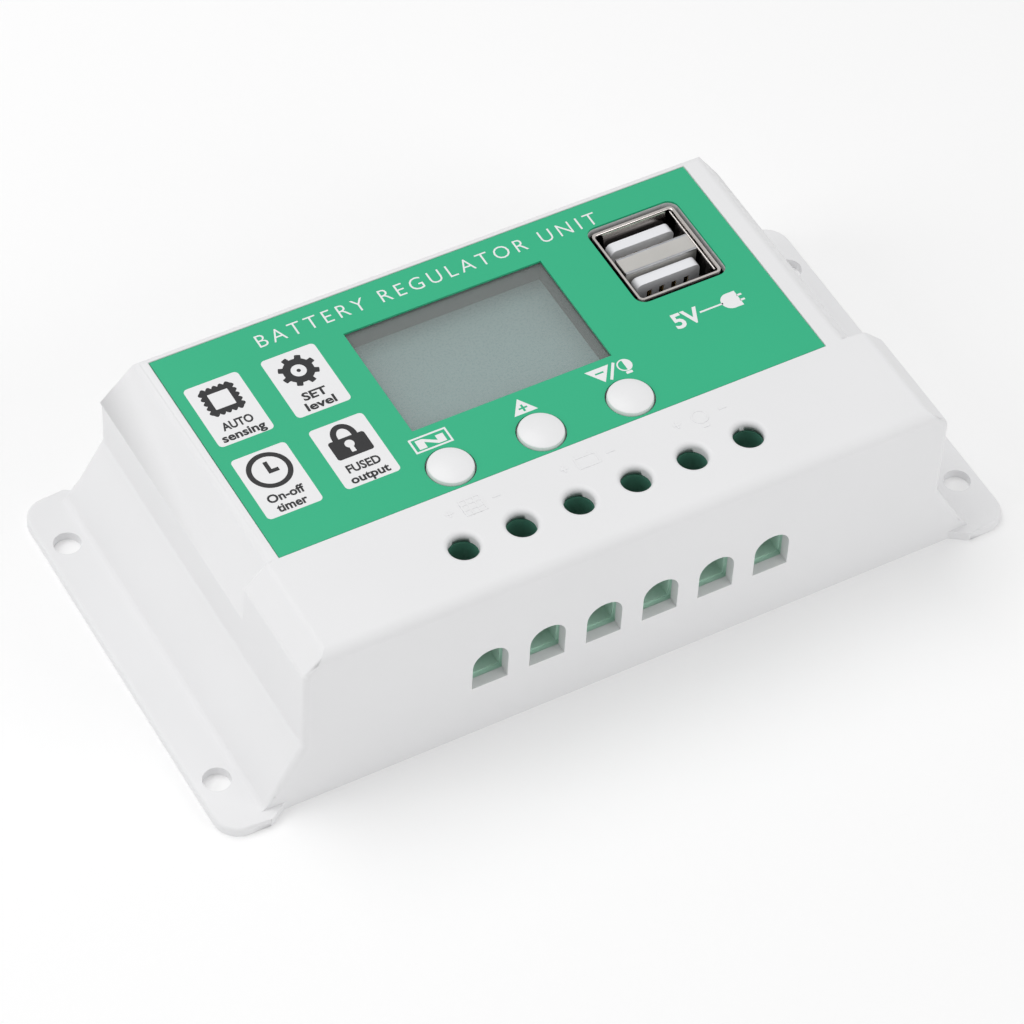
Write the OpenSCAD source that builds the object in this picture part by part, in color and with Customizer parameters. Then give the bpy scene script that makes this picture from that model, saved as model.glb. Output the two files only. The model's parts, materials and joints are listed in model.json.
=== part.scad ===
// Wall-mounted charge controller with a stepped plastic case, a printed overlay, a display behind a
// clear window, a twin charging port, three push buttons and a six-pole cage-clamp terminal block.
// +Z points away from the wall, -Y is the terminal side, and z = 0 is the mounting plane.

/* [Case] */
// Overall width across the mounting ears
unit_w = 150; // [146:1:182]
// Overall depth of the mounting ears, terminal side to far side
unit_d = 78.5; // [76:0.5:96]
// Height of the top face above the mounting plane
unit_h = 35; // [34:0.5:43]
// Wall thickness of the case
wall = 2; // [1.6:0.1:2.4]
// Set-back of the front and back walls from the edges of the ears
wall_inset = 2; // [1:0.25:3]
// Depth of the raised front block over the terminals
block_d = 21.5; // [20.5:0.5:26]
// Radius of the long top edge over the terminals
front_r = 2.2; // [0.5:0.1:3]
// Radius of the other outer edges
edge_r = 1.6; // [0.4:0.1:2]

/* [Ears and ramps] */
// Width of the flat ear on each side
ear_w = 8; // [7.5:0.25:10]
// Thickness of the ears
ear_t = 1.8; // [1.4:0.1:2.6]
// Corner radius of the ears
ear_r = 4.5; // [1:0.5:6]
// Sideways run of the ramp between ear and riser
ramp_run = 7; // [5:0.5:8]
// Height of the top of the ramp
ramp_h = 14; // [11:0.5:15]
// Height at which the sloping shoulders start
shoulder_h = 22.5; // [21:0.5:24]
// Sideways run of the left shoulder
shoulder_left = 4.5; // [3:0.5:6]
// Sideways run of the right shoulder
shoulder_right = 8; // [5:0.5:9]
// Run of the back shoulder
shoulder_back = 4.8; // [3:0.2:6]
// Chamfer at each end of the raised front block
block_chamfer = 4; // [2:0.5:5]
// Diameter of the mounting holes
mount_d = 4.8; // [4:0.1:5.5]
// Overall width less the spacing of the mounting holes
mount_in_x = 8; // [7:0.25:9]
// Overall depth less the spacing of the mounting holes
mount_in_y = 22.3; // [18:0.1:28]

/* [Overlay] */
// Margin between the left edge of the flat top and the overlay
margin_left = 2; // [1:0.2:4]
// Margin between the right edge of the flat top and the overlay
margin_right = 3.6; // [1:0.2:5]
// Margin between the back edge of the flat top and the overlay
margin_back = 1.2; // [0.6:0.1:3]
// Thickness of the overlay
overlay_t = 0.4; // [0.2:0.05:0.5]
// Depth of the recess that takes the overlay
recess_d = 0.5; // [0.5:0.05:0.7]

/* [Display] */
// Width of the visible window
window_w = 37.5; // [30:0.5:46]
// Depth of the visible window
window_d = 24.3; // [18:0.1:26]
// Distance from the overlay's left edge to the window's centre
window_from_left = 50.3; // [48:0.1:54]
// Distance from the overlay's back edge to the window
window_from_back = 8.5; // [7:0.1:11]
// Thickness of the clear window plate
window_t = 0.6; // [0.4:0.05:0.7]
// Distance from the top of the window plate down to the display glass
glass_drop = 4.1; // [3.4:0.1:5]
// Thickness of one pane of the display
pane_t = 1.1; // [0.7:0.1:1.3]
// Thickness of the light guide behind the display
light_t = 3; // [2:0.25:3.5]

/* [Charging port] */
// Width of the port cut-out
port_cut_w = 17.6; // [17:0.1:19]
// Depth of the port cut-out
port_cut_d = 19.2; // [18.2:0.1:20.4]
// Distance from the overlay's right edge to the port's centre
port_from_right = 14.2; // [13:0.1:16]
// Distance from the overlay's back edge to the port's centre
port_from_back = 15.35; // [12:0.05:18]
// Outside width of the port's metal shell
port_w = 16; // [15:0.1:16.4]
// Outside depth of the port's metal shell
port_d = 17.2; // [16.6:0.1:17.6]
// Height of the port's metal shell above its board
port_h = 17.5; // [16:0.25:18.5]
// Distance from the case top down to the rim of the shell
port_drop = 0.5; // [0.2:0.1:1.5]
// Sheet thickness of the port's metal parts
sheet_t = 0.4; // [0.3:0.05:0.5]
// Width of the plate between the two sockets
divider_d = 3.8; // [3.4:0.1:4]

/* [Buttons] */
// Diameter of a button cap
cap_d = 8; // [7:0.1:9.6]
// Distance between neighbouring buttons
cap_pitch = 16.8; // [14:0.1:18]
// Margin between the overlay's front edge and the rims of the caps
cap_margin = 0.6; // [0.4:0.1:3]
// Height of a cap's crown above the case top
cap_proud = 1; // [0.6:0.1:1.6]
// Travel of a button
cap_travel = 0.5; // [0.3:0.05:0.6]
// Gap between a cap and its hole, all round
cap_gap = 0.25; // [0.15:0.05:0.4]
// Width of a switch base
switch_w = 6; // [5:0.5:6.5]

/* [Terminals] */
// Distance between neighbouring poles
pole_pitch = 10.6; // [9.6:0.1:11]
// Place of the middle of the terminal row along X
row_x = 0.4; // [-2:0.1:2]
// Distance from the front wall to the clamp screws
row_in = 10.35; // [10:0.05:12]
// Width of a wire window
wire_w = 6.6; // [6.4:0.1:7]
// Height of a wire window at its middle
wire_h = 8.3; // [7:0.1:8.6]
// Radius of the upper corners of a wire window
wire_r = 3.1; // [1.5:0.1:3.1]
// Height of the sill of the wire windows above the main board
wire_sill = 3.6; // [3:0.1:4]
// Diameter of the screwdriver holes in the case
driver_d = 5.2; // [5:0.1:5.8]
// Diameter of a clamp screw
clamp_d = 4; // [3.5:0.1:4.2]
// Rise of a clamp cage from open to shut
clamp_travel = 4.2; // [3:0.1:4.4]
// Outside width of a clamp cage
cage_w = 7.6; // [7.4:0.1:7.8]
// Depth of a clamp cage
cage_d = 8; // [7:0.25:8.5]
// Thickness of a cage's floor and roof
cage_t = 1.4; // [1:0.1:1.6]

/* [Boards] */
// Thickness of both circuit boards
board_t = 1.6; // [1:0.1:1.6]
// Height of the underside of the main board
main_z = 6.4; // [5.8:0.1:7]
// Thickness of the back cover
cover_t = 2; // [1.6:0.1:2.4]
// Gap between the back cover and the mounting plane
cover_gap = 0.4; // [0.2:0.1:0.8]
// Diameter of the screw posts inside the case
post_d = 6; // [5:0.25:6.5]

/* [Hidden] */
$fn = 48;
// A cut reaches this far past the face it opens
over = 1;
// Clearance of a piece that lies in a recess
lay_gap = 0.15;
// Clearance between neighbouring pieces that don't touch
free_gap = 0.3;
// Clearance of a pin or a screw in its hole, all round
hole_gap = 0.15;
// Gap of a bearing face
seat_gap = 0.05;
// Number of chords in a rounded corner
corner_steps = 6;

// Planes and edges of the case
front_y = -unit_d / 2 + wall_inset;
back_y = unit_d / 2 - wall_inset;
riser_x = unit_w / 2 - ear_w - ramp_run;
ramp_x = riser_x + ramp_run;
top_z = unit_h;
ceiling_z = unit_h - wall;
shoulder_rise = top_z - shoulder_h;
neck_run = 3.5;
neck_r = 1.2;
flat_x0 = -riser_x + shoulder_left;
flat_x1 = riser_x - shoulder_right;
flat_y1 = back_y - shoulder_back;
recess_z = top_z - recess_d;

// Overlay
label_x0 = flat_x0 + margin_left;
label_x1 = flat_x1 - margin_right;
label_y0 = front_y + block_d;
label_y1 = flat_y1 - margin_back;

// Boards
main_top = main_z + board_t;
port_rim_z = top_z - port_drop;
display_top = port_rim_z - port_h;
display_z = display_top - board_t;
cover_top = cover_gap + cover_t;
main_half_w = riser_x - 8.5;
main_y0 = front_y + wall + 0.5;
main_y1 = back_y - wall - 0.85;
display_half_w = riser_x - 9;
cap_y = label_y0 + cap_margin + cap_d / 2;
display_y0 = cap_y - switch_w / 2 - 0.4;
display_y1 = back_y - wall - 7.25;

// Display
window_x = label_x0 + window_from_left;
window_y1 = label_y1 - window_from_back;
window_y = window_y1 - window_d / 2;
window_bed = recess_z - window_t;
window_lip = 2.4;
gasket_t = 1.5;
glass_top = recess_z - glass_drop;
rear_top = glass_top - pane_t;
light_top = rear_top - pane_t;
tray_top = light_top - light_t;
tray_t = 1.2;
glass_w = window_w + 5;
glass_d = window_d + 4;
contact_ledge = 2.4;
lcd_pin_count = 14;
lcd_pin_pitch = 2;
lcd_pin_y = window_y + glass_d / 2 + contact_ledge - 0.6;
lcd_leg_d = 3;

// Charging port
port_x = label_x1 - port_from_right;
port_y = label_y1 - port_from_back;
port_cut_r = 2;
socket_d = (port_d - 2 * sheet_t - divider_d) / 2;
socket_off = divider_d / 2 + socket_d / 2;
divider_gap = 0.7;
tongue_w = 12.3;
tongue_t = 2;
tongue_pitch = 8.85;
tongue_off = 1;
tongue_top = port_rim_z - 1.3;
port_leg_w = 2;
port_leg_drop = 1.5;
port_leg_y = 4.5;
port_base_h = 2.9;
contact_count = 4;
contact_pitch = 2.4;

// Buttons
function cap_x(i) = window_x + (i - 1) * cap_pitch;
cap_flange_t = 0.8;
cap_flange_d = cap_d + 1.8;
cap_ring_t = 0.8;
cap_ring_h = 2.2;
cap_flange_z = ceiling_z - free_gap - cap_flange_t;
cap_crown = 0.7;
switch_h = 3.5;
switch_cover_t = 0.3;
dome_z = display_top + 0.9;
dome_rise = 0.75;
plunger_d = 3.5;
plunger_z = dome_z + dome_rise + cap_travel + 0.1;
plunger_top = cap_flange_z - 2.9;

// Terminals
poles = 6;
function pole_x(i) = row_x + (i - (poles - 1) / 2) * pole_pitch;
row_y = front_y + row_in;
sill_z = main_top + wire_sill;
housing_half_w = poles * pole_pitch / 2 + 1;
housing_y0 = front_y + wall + 0.2;
housing_y1 = row_y + 8.45;
housing_top = ceiling_z - free_gap;
cavity_w = cage_w + 2 * free_gap;
cavity_d = cage_d + 2 * free_gap;
cage_z = sill_z - cage_t;
bar_t = 1;
bar_w = cage_w - 2.6;
bar_z = sill_z + 6.2;
cage_roof = bar_z + bar_t + 0.35;
cage_top = cage_roof + cage_t;
cavity_z = cage_z - 0.4;
cavity_top = cage_top + clamp_travel + 0.35;
ledge_t = 0.8;
head_z = cavity_top + ledge_t;
head_h = 2.4;
head_d = driver_d - 0.4;
bar_back = housing_y1 - 0.05;
pin_w = 2.2;

// Posts and bosses
pilot_d = 2.2;
screw_d = pilot_d - 0.1;
main_post_x = main_half_w - 4.5;
main_post_front = front_y + 6.25;
main_post_back = main_y1 - 2.6;
main_posts = [[-main_post_x, main_post_front], [main_post_x, main_post_front],
    [-main_post_x, main_post_back], [main_post_x, main_post_back]];
cover_post_x = riser_x - wall - post_d / 2 + 0.4;
cover_post_y = 21;
cover_posts = [for (x = [-1, 1], y = [-1, 1]) [x * cover_post_x, y * cover_post_y]];
boss_y0 = display_y0 + 2.7;
boss_y1 = display_y1 - 2.5;
boss_x0 = label_x0 + 6;
boss_x1 = label_x1 - 2;
display_bosses = [for (x = [boss_x0, boss_x1], y = [boss_y0, boss_y1]) [x, y]];
screw_head_d = 4.6;
screw_head_h = 1.7;
screw_bite = 7;

// Parts on the main board
plate_t = 1.5;
pad_t = 0.3;
pad_over = 0.5;
mosfet_count = 4;
mosfet_pitch = 12;
mosfet_w = 10;
mosfet_y = 0;
mosfet_body_l = 9;
mosfet_l = 15.5;
mosfet_hole_y = mosfet_y + 12.6;
tab_t = 1.3;
tab_z = main_top + plate_t + pad_t;
body_h = 3.1;
function mosfet_x(i) = window_x - 4.8 + i * mosfet_pitch;
lead_pitch = 2.54;
lead_t = 0.7;
lead_bend_y = mosfet_y - 3;
m3_d = 3;
m3_head_d = 5.4;
m3_head_h = 2;
nut_af = 5.5;
nut_h = 2.4;
tab_hole_d = 3.7;
can_d = 9.6;
can_h = 19.6;
sleeve_t = 0.2;
bung_h = 0.6;
can_x = housing_half_w + 8.8;
can_y = front_y + 15.5;
cans = [[row_x - can_x, can_y], [row_x + can_x, can_y]];
can_lead_pitch = 5;
can_lead_d = 0.6;
coil_x = window_x - window_w / 2 - 15;
coil_y = mosfet_y + 14;
coil_r = 4.2;
header_n = 8;
header_x0 = window_x - window_w / 2 - 6 - (header_n - 1) * lead_pitch;
header_y = 0;
header_w = 2.5;
header_pin_w = 0.64;
lead_end = 1;
chip_w = 9;
chip_x = coil_x;
chip_y = -8.5;
shunt_x = can_x + 1.5;
shunt_y = -4;

// Joins an outline's corners [x, y, radius] by straight lines and rounds each corner to its radius
function along(v) = v / norm(v);
function half_turn(a) = a > 180 ? a - 360 : a < -180 ? a + 360 : a;
function corner_arc(p, c, q, r) =
    let (a = along(p - c), b = along(q - c), h = acos(a * b) / 2)
    let (m = c + along(a + b) * r / sin(h), s = c + a * r / tan(h) - m, e = c + b * r / tan(h) - m)
    let (from = atan2(s.y, s.x), sweep = half_turn(atan2(e.y, e.x) - from))
    [for (k = [0:corner_steps]) m + r * [cos(from + sweep * k / corner_steps),
        sin(from + sweep * k / corner_steps)]];
function flat(v) = [v.x, v.y];
function rounded(v) = [for (i = [0:len(v) - 1])
    each v[i].z > 0
        ? corner_arc(flat(v[(i + len(v) - 1) % len(v)]), flat(v[i]), flat(v[(i + 1) % len(v)]), v[i].z)
        : [flat(v[i])]];

// Extrudes an outline drawn in X and Z along Y, from y0 to y1
module along_y(y0, y1) {
    translate([0, y1, 0]) rotate([90, 0, 0]) linear_extrude(y1 - y0) children();
}

// Extrudes an outline drawn in Y and Z along X, from x0 to x1
module along_x(x0, x1) {
    translate([x0, 0, 0]) rotate([90, 0, 90]) linear_extrude(x1 - x0) children();
}

// A box from its lowest corner to its highest corner
module span(a, b) {
    translate(a) cube(b - a);
}

// A rectangle with rounded corners, centred
module round_rect(w, d, r) {
    polygon(rounded([[-w / 2, -d / 2, r], [w / 2, -d / 2, r], [w / 2, d / 2, r], [-w / 2, d / 2, r]]));
}

// The lower outline that both blocks share, on one side: foot of the ramp, top of the ramp
function foot(s) = [[s * (ramp_x + neck_run), 0, 0], [s * (ramp_x + neck_run), ear_t, 0],
    [s * ramp_x, ear_t, edge_r], [s * riser_x, ramp_h, edge_r]];
function backwards(v) = [for (i = [len(v) - 1:-1:0]) v[i]];

module main_outline() {
    polygon(rounded(concat(foot(-1), [[-riser_x, shoulder_h, edge_r], [flat_x0, top_z, edge_r],
        [flat_x1, top_z, edge_r], [riser_x, shoulder_h, edge_r]], backwards(foot(1)))));
}

module front_outline() {
    polygon(rounded(concat(foot(-1), [[-riser_x, top_z - block_chamfer, edge_r],
        [-riser_x + block_chamfer, top_z, edge_r], [riser_x - block_chamfer, top_z, edge_r],
        [riser_x, top_z - block_chamfer, edge_r]], backwards(foot(1)))));
}

// Ears: one plate on each side, blended into the front and back walls
module ear(s) {
    blend = rounded([[ramp_x + ear_w, -unit_d / 2, ear_r], [ramp_x + ear_w, unit_d / 2, ear_r],
        [ramp_x - 0.5, unit_d / 2, neck_r], [ramp_x - neck_run, back_y, neck_r],
        [ramp_x - ramp_run, back_y, 0], [ramp_x - ramp_run, front_y, 0],
        [ramp_x - neck_run, front_y, neck_r], [ramp_x - 0.5, -unit_d / 2, neck_r]]);
    mirror([s < 0 ? 1 : 0, 0, 0]) linear_extrude(ear_t) polygon(blend);
}

module outer_body() {
    intersection() {
        along_y(label_y0 - over, back_y) main_outline();
        along_x(-unit_w, unit_w) polygon(rounded([[label_y0 - over, -over, 0], [back_y, -over, 0],
            [back_y, shoulder_h, edge_r], [flat_y1, top_z, edge_r], [label_y0 - over, top_z, 0]]));
    }
    intersection() {
        along_y(front_y, label_y0) front_outline();
        along_x(-unit_w, unit_w) polygon(rounded([[front_y, -over, 0], [label_y0, -over, 0],
            [label_y0, top_z, 0], [front_y, top_z, front_r]]));
    }
    ear(-1);
    ear(1);
}

// The hollow: each outline moved in by one wall
module hollow() {
    in_x0 = flat_x0 + wall - shoulder_left * wall / shoulder_rise;
    in_x1 = flat_x1 - wall + shoulder_right * wall / shoulder_rise;
    in_y1 = flat_y1 - wall + shoulder_back * wall / shoulder_rise;
    in_r = riser_x - wall;
    in_f = ramp_x - wall;
    low = [[in_f, -over], [in_f, ear_t], [in_r, ramp_h]];
    intersection() {
        along_y(label_y0 - wall - over / 2, back_y - wall) polygon(concat([for (p = low) [-p.x, p.y]],
            [[-in_r, shoulder_h], [in_x0, ceiling_z], [in_x1, ceiling_z], [in_r, shoulder_h]],
            backwards(low)));
        along_x(-unit_w, unit_w) polygon([[-unit_d, -2 * over], [back_y - wall, -2 * over],
            [back_y - wall, shoulder_h], [in_y1, ceiling_z], [-unit_d, ceiling_z]]);
    }
    along_y(front_y + wall, label_y0 - wall) polygon(concat([for (p = low) [-p.x, p.y]],
        [[-in_r, top_z - block_chamfer - 0.4 * wall], [-in_r + block_chamfer - 0.6 * wall, ceiling_z],
        [in_r - block_chamfer + 0.6 * wall, ceiling_z], [in_r, top_z - block_chamfer - 0.4 * wall]],
        backwards(low)));
}

// The outline of a wire window, drawn in X and Z about the middle of its sill
module wire_outline(grow = 0) {
    w = wire_w / 2 + grow;
    top = wire_h + grow;
    polygon(rounded([[-w, -grow, 0], [w, -grow, 0], [w, top, wire_r], [-w, top, wire_r]]));
}

// A screwdriver hole with a rounded rim, cut down from the top face
module driver_hole() {
    rim = 0.9;
    translate([0, 0, ceiling_z - over]) cylinder(d = driver_d, h = wall + 2 * over);
    translate([0, 0, top_z - rim]) rotate_extrude($fn = 64)
        difference() {
            square([driver_d / 2 + rim, rim + over]);
            translate([driver_d / 2 + rim, 0]) circle(rim);
        }
}

module post_holes(places, z, depth) {
    for (p = places)
        translate([p.x, p.y, z - over]) cylinder(d = pilot_d, h = depth + over);
}

module inner_posts() {
    for (p = main_posts)
        translate([p.x, p.y, main_top])
            cylinder(d = post_d, h = (p.y < 0 ? ceiling_z + wall / 2 : shoulder_h - 1) - main_top);
    for (x = [-1, 1])
        span([x * main_post_x - 1, main_post_back, main_top], [x * main_post_x + 1, back_y - wall / 2,
            shoulder_h - 1]);
    for (p = cover_posts) {
        translate([p.x, p.y, cover_top]) cylinder(d = post_d, h = ramp_h + 5 - cover_top);
        rib = sign(p.x) * (riser_x - wall / 2);
        span([min(p.x, rib), p.y - 1, ramp_h - 4], [max(p.x, rib), p.y + 1, ramp_h + 5]);
    }
    for (p = display_bosses)
        translate([p.x, p.y, display_top]) cylinder(d = post_d, h = ceiling_z + wall / 2 - display_top);
    for (i = [0:2])
        translate([cap_x(i), cap_y, ceiling_z - cap_ring_h]) difference() {
            cylinder(d = cap_flange_d + 2 * free_gap + 2 * cap_ring_t, h = cap_ring_h + wall / 4);
            translate([0, 0, -over]) cylinder(d = cap_flange_d + 2 * free_gap, h = cap_ring_h + wall);
        }
}

module top_case() {
    color("whitesmoke") difference() {
        union() {
            difference() {
                outer_body();
                hollow();
            }
            inner_posts();
        }
        // Overlay recess, window bed and window opening
        span([label_x0 - lay_gap, label_y0 - lay_gap, recess_z],
            [label_x1 + lay_gap, label_y1 + lay_gap, top_z + over]);
        translate([window_x, window_y, window_bed]) linear_extrude(recess_d + window_t + over)
            square([window_w + 2 * window_lip + 2 * lay_gap, window_d + 2 * window_lip + 2 * lay_gap],
                center = true);
        translate([window_x, window_y, ceiling_z - over]) linear_extrude(wall + 2 * over)
            square([window_w + 2 * gasket_t + 0.2, window_d + 2 * gasket_t + 0.2], center = true);
        // Port cut-out
        translate([port_x, port_y, ceiling_z - over]) linear_extrude(wall + 2 * over)
            round_rect(port_cut_w, port_cut_d, port_cut_r);
        // Button holes
        for (i = [0:2])
            translate([cap_x(i), cap_y, ceiling_z - over])
                cylinder(d = cap_d + 2 * cap_gap, h = wall + 2 * over);
        // Screwdriver holes and wire windows
        for (i = [0:poles - 1]) {
            translate([pole_x(i), row_y, 0]) driver_hole();
            translate([pole_x(i), 0, sill_z]) along_y(front_y - over, front_y + wall + over) wire_outline();
        }
        // Mounting holes
        for (x = [-1, 1], y = [-1, 1])
            translate([x * (unit_w - mount_in_x) / 2, y * (unit_d - mount_in_y) / 2, -over])
                cylinder(d = mount_d, h = ear_t + 2 * over);
        post_holes(main_posts, main_top, screw_bite + 2);
        post_holes(cover_posts, cover_top, screw_bite + 2);
        post_holes(display_bosses, display_top, screw_bite + 2);
    }
}

// Back cover: drops into the open back of the case
module back_cover() {
    half_w = ramp_x - wall - ramp_run * (cover_top - ear_t) / (ramp_h - ear_t) - free_gap;
    half_d = back_y - wall - free_gap;
    slot_n = 9;
    slot_pitch = 5;
    color("gainsboro") difference() {
        union() {
            translate([0, 0, cover_gap]) linear_extrude(cover_t) round_rect(2 * half_w, 2 * half_d, 2);
            for (x = [-1, 1])
                translate([x * (main_half_w - 7), -12, cover_top]) cylinder(d = 5, h = main_z - cover_top);
        }
        for (p = cover_posts) {
            translate([p.x, p.y, cover_gap - over]) cylinder(d = screw_d + 0.9, h = cover_t + 2 * over);
            translate([p.x, p.y, cover_gap - 0.01]) cylinder(d1 = 5.42, d2 = screw_d + 0.9, h = 1.2);
        }
        for (x = [-1, 1], i = [0:slot_n - 1])
            translate([x * 22, (i - (slot_n - 1) / 2) * slot_pitch, cover_gap - over])
                linear_extrude(cover_t + 2 * over) round_rect(26, 2.4, 1.1);
    }
}

module cover_screws() {
    color("silver") for (p = cover_posts)
        translate([p.x, p.y, cover_gap]) difference() {
            union() {
                cylinder(d1 = 5.2, d2 = screw_d, h = 1.2);
                cylinder(d = screw_d, h = cover_t + screw_bite);
            }
            cross_slot(2.6, 0.6, 0.7);
        }
}

// A cross slot cut up into a head from its face at z = 0
module cross_slot(w, t, deep) {
    for (a = [0, 90])
        rotate([0, 0, a]) translate([-w / 2, -t / 2, -0.01]) cube([w, t, deep]);
}

// Overlay: a printed film with openings for the window, the port and the buttons
module label_overlay() {
    color("mediumseagreen") translate([0, 0, recess_z]) linear_extrude(overlay_t) difference() {
        polygon([[label_x0, label_y0], [label_x1, label_y0], [label_x1, label_y1], [label_x0, label_y1]]);
        translate([window_x, window_y]) square([window_w, window_d], center = true);
        translate([port_x, port_y]) round_rect(port_cut_w, port_cut_d, port_cut_r);
        for (i = [0:2])
            translate([cap_x(i), cap_y]) circle(d = cap_d + 2 * cap_gap);
    }
}

module display_window() {
    color("lightcyan", 0.5) translate([window_x, window_y, window_bed]) linear_extrude(window_t)
        square([window_w + 2 * window_lip, window_d + 2 * window_lip], center = true);
}

module lcd_gasket() {
    color("dimgray") translate([window_x, window_y, glass_top]) linear_extrude(window_bed - glass_top)
        difference() {
            square([window_w + 2 * gasket_t, window_d + 2 * gasket_t], center = true);
            square([window_w, window_d], center = true);
        }
}

module lcd_front_glass() {
    color("darkseagreen") translate([window_x, window_y, rear_top]) linear_extrude(pane_t)
        square([glass_w, glass_d], center = true);
}

module lcd_rear_glass() {
    color("lightslategray") span([window_x - glass_w / 2, window_y - glass_d / 2, light_top],
        [window_x + glass_w / 2, window_y + glass_d / 2 + contact_ledge, rear_top]);
}

module lcd_light_guide() {
    color("honeydew") translate([window_x, window_y, tray_top]) linear_extrude(light_t)
        square([glass_w - 1, glass_d - 1], center = true);
}

// Holder: a tray with three low walls and four legs
module lcd_holder() {
    leg_x = glass_w / 2 - lcd_leg_d / 2;
    leg_y = glass_d / 2 - lcd_leg_d / 2;
    color("white") {
        translate([window_x, window_y, tray_top - tray_t]) difference() {
            translate([-glass_w / 2 - 0.6, -glass_d / 2 - 0.6, 0])
                cube([glass_w + 1.2, glass_d + 0.9, tray_t + light_t - 0.5]);
            translate([-glass_w / 2 + 0.4, -glass_d / 2 + 0.4, tray_t])
                cube([glass_w - 0.8, glass_d + over, light_t + over]);
        }
        for (x = [-1, 1], y = [-1, 1])
            translate([window_x + x * leg_x, window_y + y * leg_y, display_top])
                cylinder(d = lcd_leg_d, h = tray_top - tray_t - display_top);
    }
}

// Centres of the display's pins
function lcd_pin_x(i) = window_x + (i - (lcd_pin_count - 1) / 2) * lcd_pin_pitch;

module lcd_pins() {
    color("silver") for (i = [0:lcd_pin_count - 1])
        span([lcd_pin_x(i) - 0.2, lcd_pin_y - 0.2, display_z - 1], [lcd_pin_x(i) + 0.2, lcd_pin_y + 0.2,
            light_top]);
}

module square_hole(x, y, w, z) {
    span([x - w / 2, y - w / 2, z - over], [x + w / 2, y + w / 2, z + board_t + over]);
}

module display_board() {
    color("forestgreen") difference() {
        span([-display_half_w, display_y0, display_z], [display_half_w, display_y1, display_top]);
        for (p = display_bosses)
            translate([p.x, p.y, display_z - over])
                cylinder(d = screw_d + 2 * hole_gap, h = board_t + 2 * over);
        for (i = [0:lcd_pin_count - 1])
            square_hole(lcd_pin_x(i), lcd_pin_y, 0.4 + 2 * hole_gap, display_z);
        for (i = [0:header_n - 1])
            square_hole(header_x0 + i * lead_pitch, header_y, header_pin_w + 2 * hole_gap, display_z);
        for (x = [-1, 1], y = [-1, 1])
            span([port_x + x * (port_w / 2 - sheet_t / 2) - 0.4,
                port_y + y * port_leg_y - port_leg_w / 2 - hole_gap, display_z - over],
                [port_x + x * (port_w / 2 - sheet_t / 2) + 0.4,
                port_y + y * port_leg_y + port_leg_w / 2 + hole_gap, display_top + over]);
    }
}

// A pan-head self-tapping screw that points up, its head's bearing face at z = 0
module board_screw() {
    difference() {
        union() {
            translate([0, 0, -screw_head_h]) cylinder(d = screw_head_d, h = screw_head_h);
            cylinder(d = screw_d, h = board_t + screw_bite);
        }
        translate([0, 0, -screw_head_h]) cross_slot(2.8, 0.6, 0.9);
    }
}

module display_board_screws() {
    color("silver") for (p = display_bosses)
        translate([p.x, p.y, display_z]) board_screw();
}

module main_board_screws() {
    color("silver") for (p = main_posts)
        translate([p.x, p.y, main_z]) board_screw();
}

// Metal shell of the port: a tube of folded sheet with four legs
module port_shell() {
    color("silver") {
        translate([port_x, port_y, display_top]) linear_extrude(port_h) difference() {
            round_rect(port_w, port_d, 0.9);
            round_rect(port_w - 2 * sheet_t, port_d - 2 * sheet_t, 0.5);
        }
        for (x = [-1, 1], y = [-1, 1])
            span([port_x + x * (port_w / 2 - sheet_t / 2) - sheet_t / 2,
                port_y + y * port_leg_y - port_leg_w / 2, display_z - port_leg_drop],
                [port_x + x * (port_w / 2 - sheet_t / 2) + sheet_t / 2,
                port_y + y * port_leg_y + port_leg_w / 2, display_top + 0.5]);
    }
}

// Plate between the sockets: a folded channel, closed at its top
module port_divider() {
    w = port_w - 2 * sheet_t - 2 * divider_gap;
    foot_z = display_top + port_base_h + 0.1;
    top = port_rim_z - 0.3;
    color("darkgray") difference() {
        span([port_x - w / 2, port_y - divider_d / 2, foot_z],
            [port_x + w / 2, port_y + divider_d / 2, top]);
        span([port_x - w / 2 - over, port_y - divider_d / 2 + sheet_t, foot_z - over],
            [port_x + w / 2 + over, port_y + divider_d / 2 - sheet_t, top - sheet_t]);
    }
}

function contact_x(i) = port_x + (i - (contact_count - 1) / 2) * contact_pitch;
function tongue_y(s) = port_y + tongue_off + s * tongue_pitch / 2;

// Insulator of one socket: a base and a tongue with a slot for each contact
module port_insulator(s) {
    w = port_w - 2 * sheet_t - 0.1;
    y = tongue_y(s);
    color("white") difference() {
        union() {
            translate([port_x, port_y + s * socket_off, display_top]) linear_extrude(port_base_h)
                round_rect(w, socket_d - 0.1, 0.5);
            along_y(y - tongue_t / 2, y + tongue_t / 2)
                polygon(rounded([[port_x - tongue_w / 2, display_top + 2, 0],
                    [port_x + tongue_w / 2, display_top + 2, 0], [port_x + tongue_w / 2, tongue_top, 1.1],
                    [port_x - tongue_w / 2, tongue_top, 1.1]]));
        }
        for (i = [0:contact_count - 1])
            span([contact_x(i) - 0.5, y - tongue_t / 2 - over, display_top + 4],
                [contact_x(i) + 0.5, y - tongue_t / 2 + 0.6, tongue_top - 2]);
    }
}

module port_insulator_back() {
    port_insulator(1);
}

module port_insulator_front() {
    port_insulator(-1);
}

module port_contacts() {
    color("gold") for (s = [-1, 1], i = [0:contact_count - 1])
        let (y = tongue_y(s) - tongue_t / 2)
        span([contact_x(i) - 0.42, y + 0.2, display_top + 4.1], [contact_x(i) + 0.42, y + 0.55,
            tongue_top - 2.1]);
}

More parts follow.
